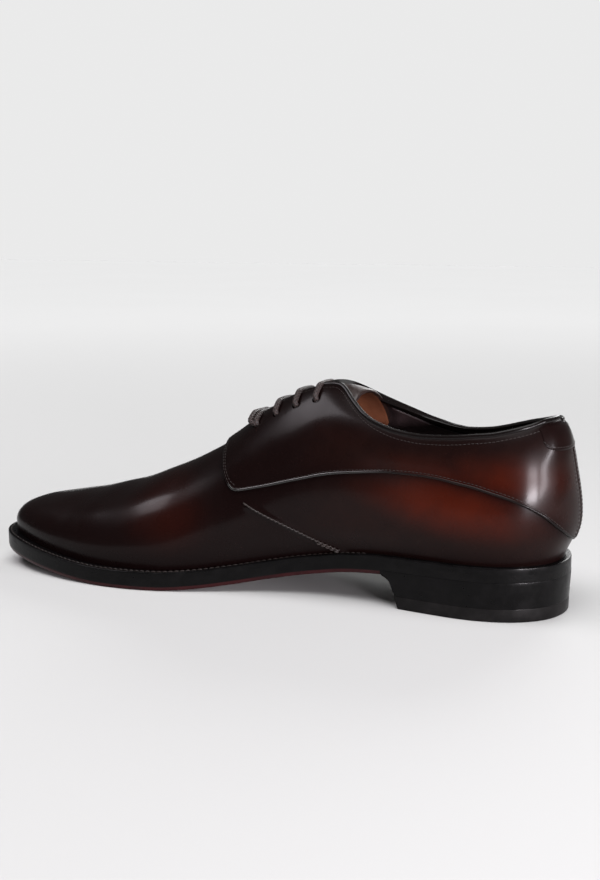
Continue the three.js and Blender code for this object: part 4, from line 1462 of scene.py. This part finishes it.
def group_called(name, inputs, outputs):
    group = bpy.data.node_groups.new(name, "ShaderNodeTree")
    for title, kind, default in inputs:
        socket = group.interface.new_socket(name=title, in_out="INPUT", socket_type=kind)
        if default is not None:
            socket.default_value = default
    for title, kind in outputs:
        group.interface.new_socket(name=title, in_out="OUTPUT", socket_type=kind)
    return group, group.nodes.new("NodeGroupInput"), group.nodes.new("NodeGroupOutput")


# %% Arithmetic, noise and ranges
def maths(tree, operation, a, b=None, clamp=False):
    node = new_node(tree, "ShaderNodeMath", operation=operation, use_clamp=clamp)
    for index, value in enumerate((a, b)):
        if value is None:
            continue
        if isinstance(value, (int, float)):
            node.inputs[index].default_value = value
        else:
            tree.links.new(value, node.inputs[index])
    return node.outputs[0]


def noise(tree, vector, scale, detail=2.0, roughness=0.5, distortion=0.0):
    node = new_node(tree, "ShaderNodeTexNoise")
    node.inputs["Scale"].default_value = scale
    node.inputs["Detail"].default_value = detail
    node.inputs["Roughness"].default_value = roughness
    node.inputs["Distortion"].default_value = distortion
    tree.links.new(vector, node.inputs["Vector"])
    return node.outputs[0]


def spread(tree, value, low, high, to_low=0.0, to_high=1.0):
    node = new_node(tree, "ShaderNodeMapRange", interpolation_type="SMOOTHSTEP")
    for title, number in (("From Min", low), ("From Max", high), ("To Min", to_low), ("To Max", to_high)):
        node.inputs[title].default_value = number
    tree.links.new(value, node.inputs["Value"])
    return node.outputs["Result"]


# %% Mixing colours and adding bumps
def colour_mix(tree, factor, first, second):
    node = new_node(tree, "ShaderNodeMix", data_type="RGBA")
    for socket, value in (("A", first), ("B", second)):
        target = [s for s in node.inputs if s.name == socket and s.type == "RGBA"][0]
        if isinstance(value, tuple):
            target.default_value = (*value, 1.0)
        else:
            tree.links.new(value, target)
    tree.links.new(factor, node.inputs[0])
    return [s for s in node.outputs if s.type == "RGBA"][0]


def object_place(tree):
    return new_node(tree, "ShaderNodeTexCoord").outputs["Object"]


def axes_of(tree, vector):
    split = new_node(tree, "ShaderNodeSeparateXYZ")
    tree.links.new(vector, split.inputs[0])
    return split.outputs


def bump_into(tree, shader, height, strength, distance):
    bump = new_node(tree, "ShaderNodeBump")
    bump.inputs["Strength"].default_value = strength
    bump.inputs["Distance"].default_value = distance
    tree.links.new(height, bump.inputs["Height"])
    tree.links.new(bump.outputs["Normal"], shader.inputs["Normal"])


# %% Leather grain group
grain, grain_in, grain_out = group_called(
    "leather_grain",
    [("Place", "NodeSocketVector", None), ("Pores Per Metre", "NodeSocketFloat", 1900.0)],
    [("Height", "NodeSocketFloat"), ("Mottle", "NodeSocketFloat")])
cells = new_node(grain, "ShaderNodeTexVoronoi", feature="DISTANCE_TO_EDGE")
grain.links.new(grain_in.outputs["Place"], cells.inputs["Vector"])
grain.links.new(grain_in.outputs["Pores Per Metre"], cells.inputs["Scale"])
pebbles = spread(grain, cells.outputs["Distance"], 0.0, 0.35)
stretch = noise(grain, grain_in.outputs["Place"], 240.0, 3.0)
waves = maths(grain, "MULTIPLY", stretch, 1.6)
grain.links.new(maths(grain, "ADD", pebbles, waves), grain_out.inputs["Height"])
mottle = noise(grain, grain_in.outputs["Place"], 95.0, 4.0, 0.6)
grain.links.new(spread(grain, mottle, 0.35, 0.68), grain_out.inputs["Mottle"])
print(grain.name, "has", len(grain.nodes), "nodes")

# %% Patina group
patina, patina_in, patina_out = group_called(
    "patina",
    [("Place", "NodeSocketVector", None)],
    [("Warmth", "NodeSocketFloat")])


def patch(tree, place, centre, reach, lean=0.0):
    mapping = new_node(tree, "ShaderNodeMapping", vector_type="TEXTURE")
    mapping.inputs["Rotation"].default_value = (0, math.radians(lean), 0)
    mapping.inputs["Location"].default_value = centre
    mapping.inputs["Scale"].default_value = reach
    tree.links.new(place, mapping.inputs["Vector"])
    length = new_node(tree, "ShaderNodeVectorMath", operation="LENGTH")
    tree.links.new(mapping.outputs["Vector"], length.inputs[0])
    return spread(tree, length.outputs["Value"], 1.0, 0.15)


inner_glow = patch(patina, patina_in.outputs["Place"], (0.099, -0.034, 0.055), (0.060, 0.05, 0.021), 8)
outer_glow = patch(patina, patina_in.outputs["Place"], (0.096, 0.030, 0.052), (0.062, 0.05, 0.021), 8)
toe_glow = patch(patina, patina_in.outputs["Place"], (-0.045, -0.012, 0.036), (0.034, 0.07, 0.026))
heel_glow = patch(patina, patina_in.outputs["Place"], (0.121, 0.0, 0.064), (0.036, 0.2, 0.016))
glow = maths(patina, "MAXIMUM", maths(patina, "MAXIMUM", inner_glow, outer_glow),
             maths(patina, "MULTIPLY", toe_glow, 0.22))
glow = maths(patina, "MAXIMUM", glow, maths(patina, "MULTIPLY", heel_glow, 0.75))
cloud = noise(patina, patina_in.outputs["Place"], 38.0, 3.0, 0.55, 0.4)
cloudy = maths(patina, "MULTIPLY", glow, spread(patina, cloud, 0.2, 0.75, 0.45, 1.15))
patina.links.new(cloudy, patina_out.inputs["Warmth"])
print(patina.name, "has", len(patina.nodes), "nodes")


# %% Using a node group
def use_group(tree, group, **inputs):
    node = tree.nodes.new("ShaderNodeGroup")
    node.node_tree = group
    for name, value in inputs.items():
        socket = node.inputs[name.replace("_", " ")]
        if isinstance(value, (int, float)):
            socket.default_value = value
        else:
            tree.links.new(value, socket)
    return node


# %% Polished calf
def calf_material(name, dark, ground, warm, rim_depth, roughness, coat, coat_ior=1.34):
    material, tree, shader = material_called(name, roughness, coat, 0.15, 0.06)
    shader.inputs["Coat IOR"].default_value = coat_ior
    place = object_place(tree)
    pores = use_group(tree, grain, Place=place)
    glow_here = use_group(tree, patina, Place=place).outputs["Warmth"]
    axes = axes_of(tree, place)
    toeward = spread(tree, axes["X"], 0.058, 0.012)
    high = spread(tree, axes["Z"], 0.072, 0.092)
    shade = maths(tree, "MAXIMUM", toeward, high)
    mottled = colour_mix(tree, maths(tree, "MULTIPLY", pores.outputs["Mottle"], 0.3), ground, dark)
    shaded = colour_mix(tree, maths(tree, "MULTIPLY", shade, 0.8), mottled, dark)
    warmed = colour_mix(tree, glow_here, shaded, warm)
    # rims darken towards the dark ground: burnished edges, and on the vamp also painted shade above the
    # welt and under the piping
    rim = new_node(tree, "ShaderNodeAttribute", attribute_name="rim").outputs["Fac"]
    burnish_and_shade = maths(tree, "MULTIPLY", rim, rim_depth, clamp=True)
    # the polish thins with the same mask, so on the vamp the floor's reflection fades there as painted
    # shade
    polish_left = maths(tree, "SUBTRACT", coat, maths(tree, "MULTIPLY", burnish_and_shade, 1.2 * coat), clamp=True)
    tree.links.new(polish_left, shader.inputs["Coat Weight"])
    tree.links.new(colour_mix(tree, burnish_and_shade, warmed, dark), shader.inputs["Base Color"])
    smear = noise(tree, place, 60.0, 3.0)
    tree.links.new(spread(tree, smear, 0.3, 0.7, roughness - 0.05, roughness + 0.07),
                   shader.inputs["Roughness"])
    bump_into(tree, shader, pores.outputs["Height"], 0.05, 0.00004)
    return material


polished_calf = calf_material("polished_calf", (0.0040, 0.0018, 0.0018), (0.0105, 0.0038, 0.0030),
                              (0.052, 0.0064, 0.0020), 0.75, 0.28, 0.26)
dark_calf = calf_material("dark_calf", (0.0035, 0.0026, 0.0025), (0.0060, 0.0038, 0.0036),
                          (0.012, 0.005, 0.004), 0.5, 0.26, 0.45)
piping_calf = calf_material("piping_calf", (0.0030, 0.0022, 0.0021), (0.0050, 0.0032, 0.0030),
                            (0.009, 0.0040, 0.0034), 0.3, 0.3, 0.9, 1.6)
# painted highlight: the piping's polish is full on its front part and thin towards the heel, so its
# highlight shows only at the front
tree = piping_calf.node_tree
along_shoe = axes_of(tree, object_place(tree))["X"]
tree.links.new(spread(tree, along_shoe, 0.052, 0.076, 0.9, 0.18),
               tree.nodes["Principled BSDF"].inputs["Coat Weight"])


# %% Lining, sock and thread
def plain_leather(name, first, second, roughness, coat, bump):
    material, tree, shader = material_called(name, roughness, coat, 0.15, 0.45)
    place = object_place(tree)
    skin = use_group(tree, grain, Place=place, Pores_Per_Metre=1500.0)
    colour = colour_mix(tree, skin.outputs["Mottle"], first, second)
    tree.links.new(colour, shader.inputs["Base Color"])
    rough = spread(tree, skin.outputs["Mottle"], 0.0, 1.0, roughness - 0.06, roughness + 0.06)
    tree.links.new(rough, shader.inputs["Roughness"])
    bump_into(tree, shader, skin.outputs["Height"], bump, 0.0002)
    return material


lining_leather = plain_leather("lining_leather", (0.032, 0.021, 0.022), (0.054, 0.034, 0.036),
                               0.45, 0.05, 0.25)
sock_leather = plain_leather("sock_leather", (0.026, 0.016, 0.010), (0.045, 0.027, 0.017),
                             0.5, 0.0, 0.3)
thread = plain_leather("waxed_thread", (0.008, 0.0042, 0.0034), (0.014, 0.007, 0.0055), 0.5, 0.0, 0.2)

# %% Tongue and cord
tongue_calf, tree, shader = material_called("tongue_calf", 0.42, 0.1, 0.2, 0.5)
place = object_place(tree)
skin = use_group(tree, grain, Place=place, Pores_Per_Metre=1400.0)
inside = new_node(tree, "ShaderNodeAttribute", attribute_name="inside").outputs["Fac"]
tan_side = colour_mix(tree, skin.outputs["Mottle"], (0.190, 0.066, 0.031), (0.150, 0.048, 0.023))
dark_side = colour_mix(tree, skin.outputs["Mottle"], (0.012, 0.006, 0.005), (0.022, 0.010, 0.008))
inner_face = spread(tree, inside, 0.45, 0.6)
tree.links.new(colour_mix(tree, inner_face, dark_side, tan_side), shader.inputs["Base Color"])
tree.links.new(spread(tree, inside, 0.0, 1.0, 0.28, 0.5), shader.inputs["Roughness"])
bump_into(tree, shader, skin.outputs["Height"], 0.3, 0.0002)

waxed_cord, tree, shader = material_called("waxed_cord", 0.5, 0.0, 0.2, 0.4)
along = new_node(tree, "ShaderNodeAttribute", attribute_name="along").outputs["Fac"]
round_node = new_node(tree, "ShaderNodeAttribute", attribute_name="round")
across_cord = axes_of(tree, round_node.outputs["Vector"])
angle = maths(tree, "ARCTAN2", across_cord["Y"], across_cord["X"])
advance = maths(tree, "MULTIPLY", along, 3600.0)
turn = maths(tree, "MULTIPLY", angle, 4.0)
rising = maths(tree, "SINE", maths(tree, "ADD", advance, turn))
falling = maths(tree, "SINE", maths(tree, "SUBTRACT", advance, turn))
braid = maths(tree, "MAXIMUM", rising, falling)
cord_colour = colour_mix(tree, spread(tree, braid, -0.6, 1.0),
                         (0.0075, 0.0050, 0.0050), (0.028, 0.0165, 0.0150))
tree.links.new(cord_colour, shader.inputs["Base Color"])
bump_into(tree, shader, braid, 0.6, 0.00025)


# %% Sole edge, sole leather and rubber
def edge_material(name, base, roughness, lines=0.0):
    material, tree, shader = material_called(name, roughness, 0.08, 0.15, 0.07)
    place = object_place(tree)
    rub = noise(tree, place, 130.0, 4.0, 0.6)
    ground = colour_mix(tree, spread(tree, rub, 0.4, 0.75), base, tuple(1.9 * c for c in base))
    tree.links.new(ground, shader.inputs["Base Color"])
    tree.links.new(spread(tree, rub, 0.3, 0.75, roughness - 0.08, roughness + 0.12),
                   shader.inputs["Roughness"])
    lift = maths(tree, "SINE", maths(tree, "MULTIPLY", axes_of(tree, place)["Z"], 1500.0))
    fibre = noise(tree, place, 420.0, 3.0)
    height = maths(tree, "ADD", maths(tree, "MULTIPLY", lift, lines), fibre)
    bump_into(tree, shader, height, 0.12, 0.0002)
    return material


black_edge = edge_material("black_edge", (0.0018, 0.0016, 0.0017), 0.34)
lift_edge = edge_material("lift_edge", (0.0020, 0.0018, 0.0019), 0.34, 0.2)
heel_rubber = edge_material("heel_rubber", (0.0055, 0.0050, 0.0050), 0.42)

sole_leather, tree, shader = material_called("sole_leather", 0.34, 0.08, 0.15, 0.07)
place = object_place(tree)
skin = use_group(tree, grain, Place=place, Pores_Per_Metre=900.0)
facing = axes_of(tree, new_node(tree, "ShaderNodeNewGeometry").outputs["Normal"])
below = spread(tree, facing["Z"], -0.10, -0.28)
waist = spread(tree, axes_of(tree, place)["X"], 0.0735, 0.0715)
under = maths(tree, "MULTIPLY", below, waist)
red = colour_mix(tree, skin.outputs["Mottle"], (0.030, 0.0065, 0.0075), (0.020, 0.0050, 0.0058))
side_black = colour_mix(tree, skin.outputs["Mottle"], (0.0018, 0.0016, 0.0017), (0.0036, 0.0033, 0.0034))
tree.links.new(colour_mix(tree, under, side_black, red), shader.inputs["Base Color"])
bump_into(tree, shader, skin.outputs["Height"], 0.15, 0.0002)
print(len(bpy.data.materials), "materials")

# %% [markdown]
# ## Threads and cords in place
# With the materials ready, the two trees turn their paths into mesh. The modifier's inputs are
# set before Blender evaluates the object, and the modifier is gone before the piece joins the
# frame.
# %% Upper stitches
upper_stitches = made_by(path_object("upper_stitches", upper_rows), stitches, Pitch=0.0019,
                         Stitch_Length=0.0015, Thread_Radius=0.00015, Thread=thread)
slant_points = on_last(*slant_spots, 0.25 + settling(look_up(last_grid, *slant_spots)))
slant_normals = normal_on_last(*slant_spots)
slant_along = unit(np.gradient(slant_points, axis=0))
slant_across = unit(np.cross(slant_normals, slant_along))
slant_upper = (slant_points + 0.42 * slant_across, slant_normals)
slant_lower = (slant_points[5:] + (0.30 * slant_normals - 0.42 * slant_across)[5:], slant_normals[5:])
slant_stitches = made_by(path_object("slant_seam_stitches", [slant_upper, slant_lower]), stitches,
                         Pitch=0.0021, Stitch_Length=0.0021, Thread_Radius=0.00050, Thread=thread)
tell(upper_stitches, slant_stitches)

# %% Piping
piping_drop = 0.75
pipes = []
for side in ("inner", "outer"):
    station, level = quarter_frames[side]["low"]
    points = on_last(station, level, 0.45 + settling(look_up(last_grid, station, level)))
    normals = normal_on_last(station, level)
    across = line_frame(points, normals)[1]
    points = points + across * (-piping_drop if side == "inner" else piping_drop)
    keep = points[:, 0] < 162
    pipes.append((points[keep], normals[keep]))
piping = made_by(path_object("piping", pipes), cords, Radius=0.0007, Step=0.0012,
                 Cord_Material=dark_calf)
tell(piping)


# %% Laces
bar_edge = 6.2


def lace_row(u, shift=0.0, drop=0.0):
    ends = []
    for side in (1, -1):
        spot = spot_on_top(u, side * eyelet_out)
        point = look_up(last_grid, *spot)
        normal = normal_on_last(*spot)
        inward = unit(np.cross(np.array([side, 0.0, 0.0]), normal))
        if inward[1] * side > 0:
            inward = -inward
        rise = quarter_rise(point)
        rim = eyelet_bore / 2 - 0.35
        path = [point + normal * (-0.6), point + normal * 0.6 * rise]
        for angle in (0, 30, 60, 88):
            a = math.radians(angle)
            path.append(point + inward * rim * (1 - math.cos(a))
                        + normal * (rise + 1.25 * math.sin(a) + 0.15))
        edge_spot = spot_on_top(u, side * bar_edge)
        edge = look_up(last_grid, *edge_spot)
        path.append(edge + normal_on_last(*edge_spot) * (quarter_rise(edge) + 1.3))
        ends.append(np.array(path))
    middle = (ends[0][-1] + ends[1][-1]) / 2 + np.array([0, 0, 0.35 - drop])
    path = np.concatenate([ends[0], middle[None], ends[1][::-1]])
    path[3:-3, 0] += shift
    steps = np.concatenate([[0], np.cumsum(np.linalg.norm(np.diff(path, axis=0), axis=1))])
    even = np.linspace(0, steps[-1], 160)
    curve = np.stack([np.interp(even, steps, path[:, k]) for k in range(3)], axis=1)
    weights = np.exp(-0.5 * (np.arange(-12, 13) / 4.0) ** 2)
    weights /= weights.sum()
    padded = np.pad(curve, ((12, 12), (0, 0)), mode="edge")
    curve = np.stack([np.convolve(padded[:, k], weights, mode="valid") for k in range(3)], axis=1)
    return curve, np.tile([0.0, 0.0, 1.0], (len(curve), 1))


lace_bars = []
for index, u in enumerate(eyelet_places):
    rows = [lace_row(u)]
    if index == 3:
        rows.append(lace_row(u, shift=3.0, drop=0.3))
    cord_length = sum(np.linalg.norm(np.diff(row[0], axis=0), axis=1).sum() for row in rows)
    print(f"lace {index + 1} takes {cord_length:.0f} mm of cord")
    lace_bars.append(made_by(path_object(f"lace_{index + 1}", rows), cords, Radius=0.0014,
                             Step=0.0005, Cord_Material=waxed_cord))

# %% Welt stitches
welt_path = sole_ring(1.6, 9.45)
heel_front = 92
welt_row = welt_path[welt_path[:, 0] > heel_front]
welt_stitches = made_by(
    path_object("welt_stitches", [(welt_row, np.tile([0.0, 0.0, 1.0], (len(welt_row), 1)))]),
    stitches, Pitch=0.0029, Stitch_Length=0.0025, Thread_Radius=0.00032, Thread=thread)
tell(welt_stitches)

# %% [markdown]
# ## Putting the pieces on the frame
# Each piece gets its material, rides on the part's one body, and stands for the CAD node that it
# dresses, which stays hidden underneath.
# %% Pieces on the frame
for side in ("inner", "outer"):
    finish_piece(quarters[side], polished_calf, ["upper"])
finish_piece(vamp, polished_calf, ["upper"])
finish_piece(lining, lining_leather, ["upper"])
finish_piece(binding, dark_calf, ["upper"])
finish_piece(back_tab, polished_calf, ["upper"])
finish_piece(piping, piping_calf, ["upper"])
finish_piece(upper_stitches, thread, ["upper"])
finish_piece(slant_stitches, thread, ["upper"])
finish_piece(tongue, tongue_calf, ["tongue"])
finish_piece(outsole, sole_leather, ["outsole"])
finish_piece(welt, black_edge, ["welt"])
finish_piece(welt_stitches, thread, ["welt"])
finish_piece(sock, sock_leather, ["insole"])
finish_piece(top_piece, heel_rubber, ["heel_top_piece"])
finish_piece(heel_stack, lift_edge, ["heel_stack"])
for index, bar in enumerate(lace_bars):
    finish_piece(bar, waxed_cord, [f"lace_bar_{index + 1}"])

# %% [markdown]
# ## The floor
# A pale floor fills the lower sides of the dark leather. It is dull, so that no lamp shows in it,
# and a little deeper in tone round the shoe, where the small lamps add their light to that of the
# windows.
# %% Floor
bpy.ops.mesh.primitive_plane_add(size=9)
floor = bpy.context.object
floor.name = "floor"
floor_paint, tree, shader = material_called("floor_paint", 0.9, 0.0, 0.2, 0.0)
place = object_place(tree)
tone = colour_mix(tree, noise(tree, place, 3.0), (0.79, 0.79, 0.79), (0.81, 0.81, 0.81))
under_lamps = patch(tree, place, (0.1, -0.15, 0.0), (2.1, 2.1, 1.0))
tree.links.new(colour_mix(tree, under_lamps, tone, (0.55, 0.555, 0.55)), shader.inputs["Base Color"])
floor.data.materials.append(floor_paint)
print("the floor is", round(floor.dimensions.x, 1), "m wide")

# %% [markdown]
# ## Windows and lamps
# Dark polished leather is drawn by what it reflects. A wide high window lights the shoe from
# above, and a low one behind it brightens the floor under the arch. A small panel gives the
# bright spot on the heel, a narrow strip beside it the streak that rises from the spot, and a
# soft panel in front the glow on the facing. The strip is turned round its own axis, so that the
# streak leans as the heel does.
# %% Windows and lamps
lamp_colour = (1.0, 0.94, 0.99)


def hang(name, light):
    lamp = bpy.data.objects.new(name, light)
    bpy.context.scene.collection.objects.link(lamp)
    return lamp


def soft_panel(name, place, target, wide, tall, power):
    light = bpy.data.lights.new(name, "AREA")
    light.shape = "RECTANGLE"
    light.size = wide
    light.size_y = tall
    light.energy = power
    light.color = lamp_colour
    lamp = hang(name, light)
    lamp.location = place
    lamp.rotation_mode = "QUATERNION"
    lamp.rotation_quaternion = (Vector(target) - Vector(place)).to_track_quat("-Z", "Y")
    return lamp


def window(name, strength, width, turn):
    light = bpy.data.lights.new(name, "SUN")
    light.energy = strength
    light.angle = math.radians(width)
    hang(name, light).rotation_euler = [math.radians(angle) for angle in turn]


# %% The lamps in their places
window("high_window", 2.5, 50, (14, 6, 0))
window("low_window_behind", 1.3, 30, (-64, 0, 0))
soft_panel("heel_spot", (0.93, -0.79, 0.165), (0.13, -0.02, 0.06), 0.26, 0.08, 11)
strip_place = (1.16, -0.30, 0.27)
strip_target = (0.14, -0.02, 0.07)
heel_strip = soft_panel("heel_strip", strip_place, strip_target, 0.80, 0.07, 11)
strip_along = (Vector((1.19, -0.05, 0.36)) - Vector((1.06, -0.60, 0.19))).normalized()
strip_back = (Vector(strip_place) - Vector(strip_target)).normalized()
strip_up = strip_back.cross(strip_along).normalized()
strip_along = strip_up.cross(strip_back)
heel_strip.rotation_quaternion = Matrix((strip_along, strip_up, strip_back)).transposed().to_quaternion()
soft_panel("facing_side", (-0.64, -0.24, 0.93), (0.02, -0.02, 0.09), 0.5, 0.3, 4)
print(len(bpy.data.lights), "lights")

# %% World
world = bpy.data.worlds.new("studio")
world.use_nodes = True
sky = world.node_tree
seen_sky = sky.nodes["Background"]
seen_sky.inputs["Color"].default_value = (0.825, 0.825, 0.825, 1)
fill_sky = sky.nodes.new("ShaderNodeBackground")
fill_sky.inputs["Color"].default_value = (0.86, 0.87, 0.88, 1)
fill_sky.inputs["Strength"].default_value = 0.09
ray = sky.nodes.new("ShaderNodeLightPath")
choose = sky.nodes.new("ShaderNodeMixShader")
sky.links.new(ray.outputs["Is Camera Ray"], choose.inputs[0])
sky.links.new(fill_sky.outputs[0], choose.inputs[1])
sky.links.new(seen_sky.outputs[0], choose.inputs[2])
sky.links.new(choose.outputs[0], sky.nodes["World Output"].inputs["Surface"])
bpy.context.scene.world = world
bpy.context.scene.view_settings.view_transform = "Standard"
print("the sky fills the shadows with a strength of", round(fill_sky.inputs["Strength"].default_value, 2))
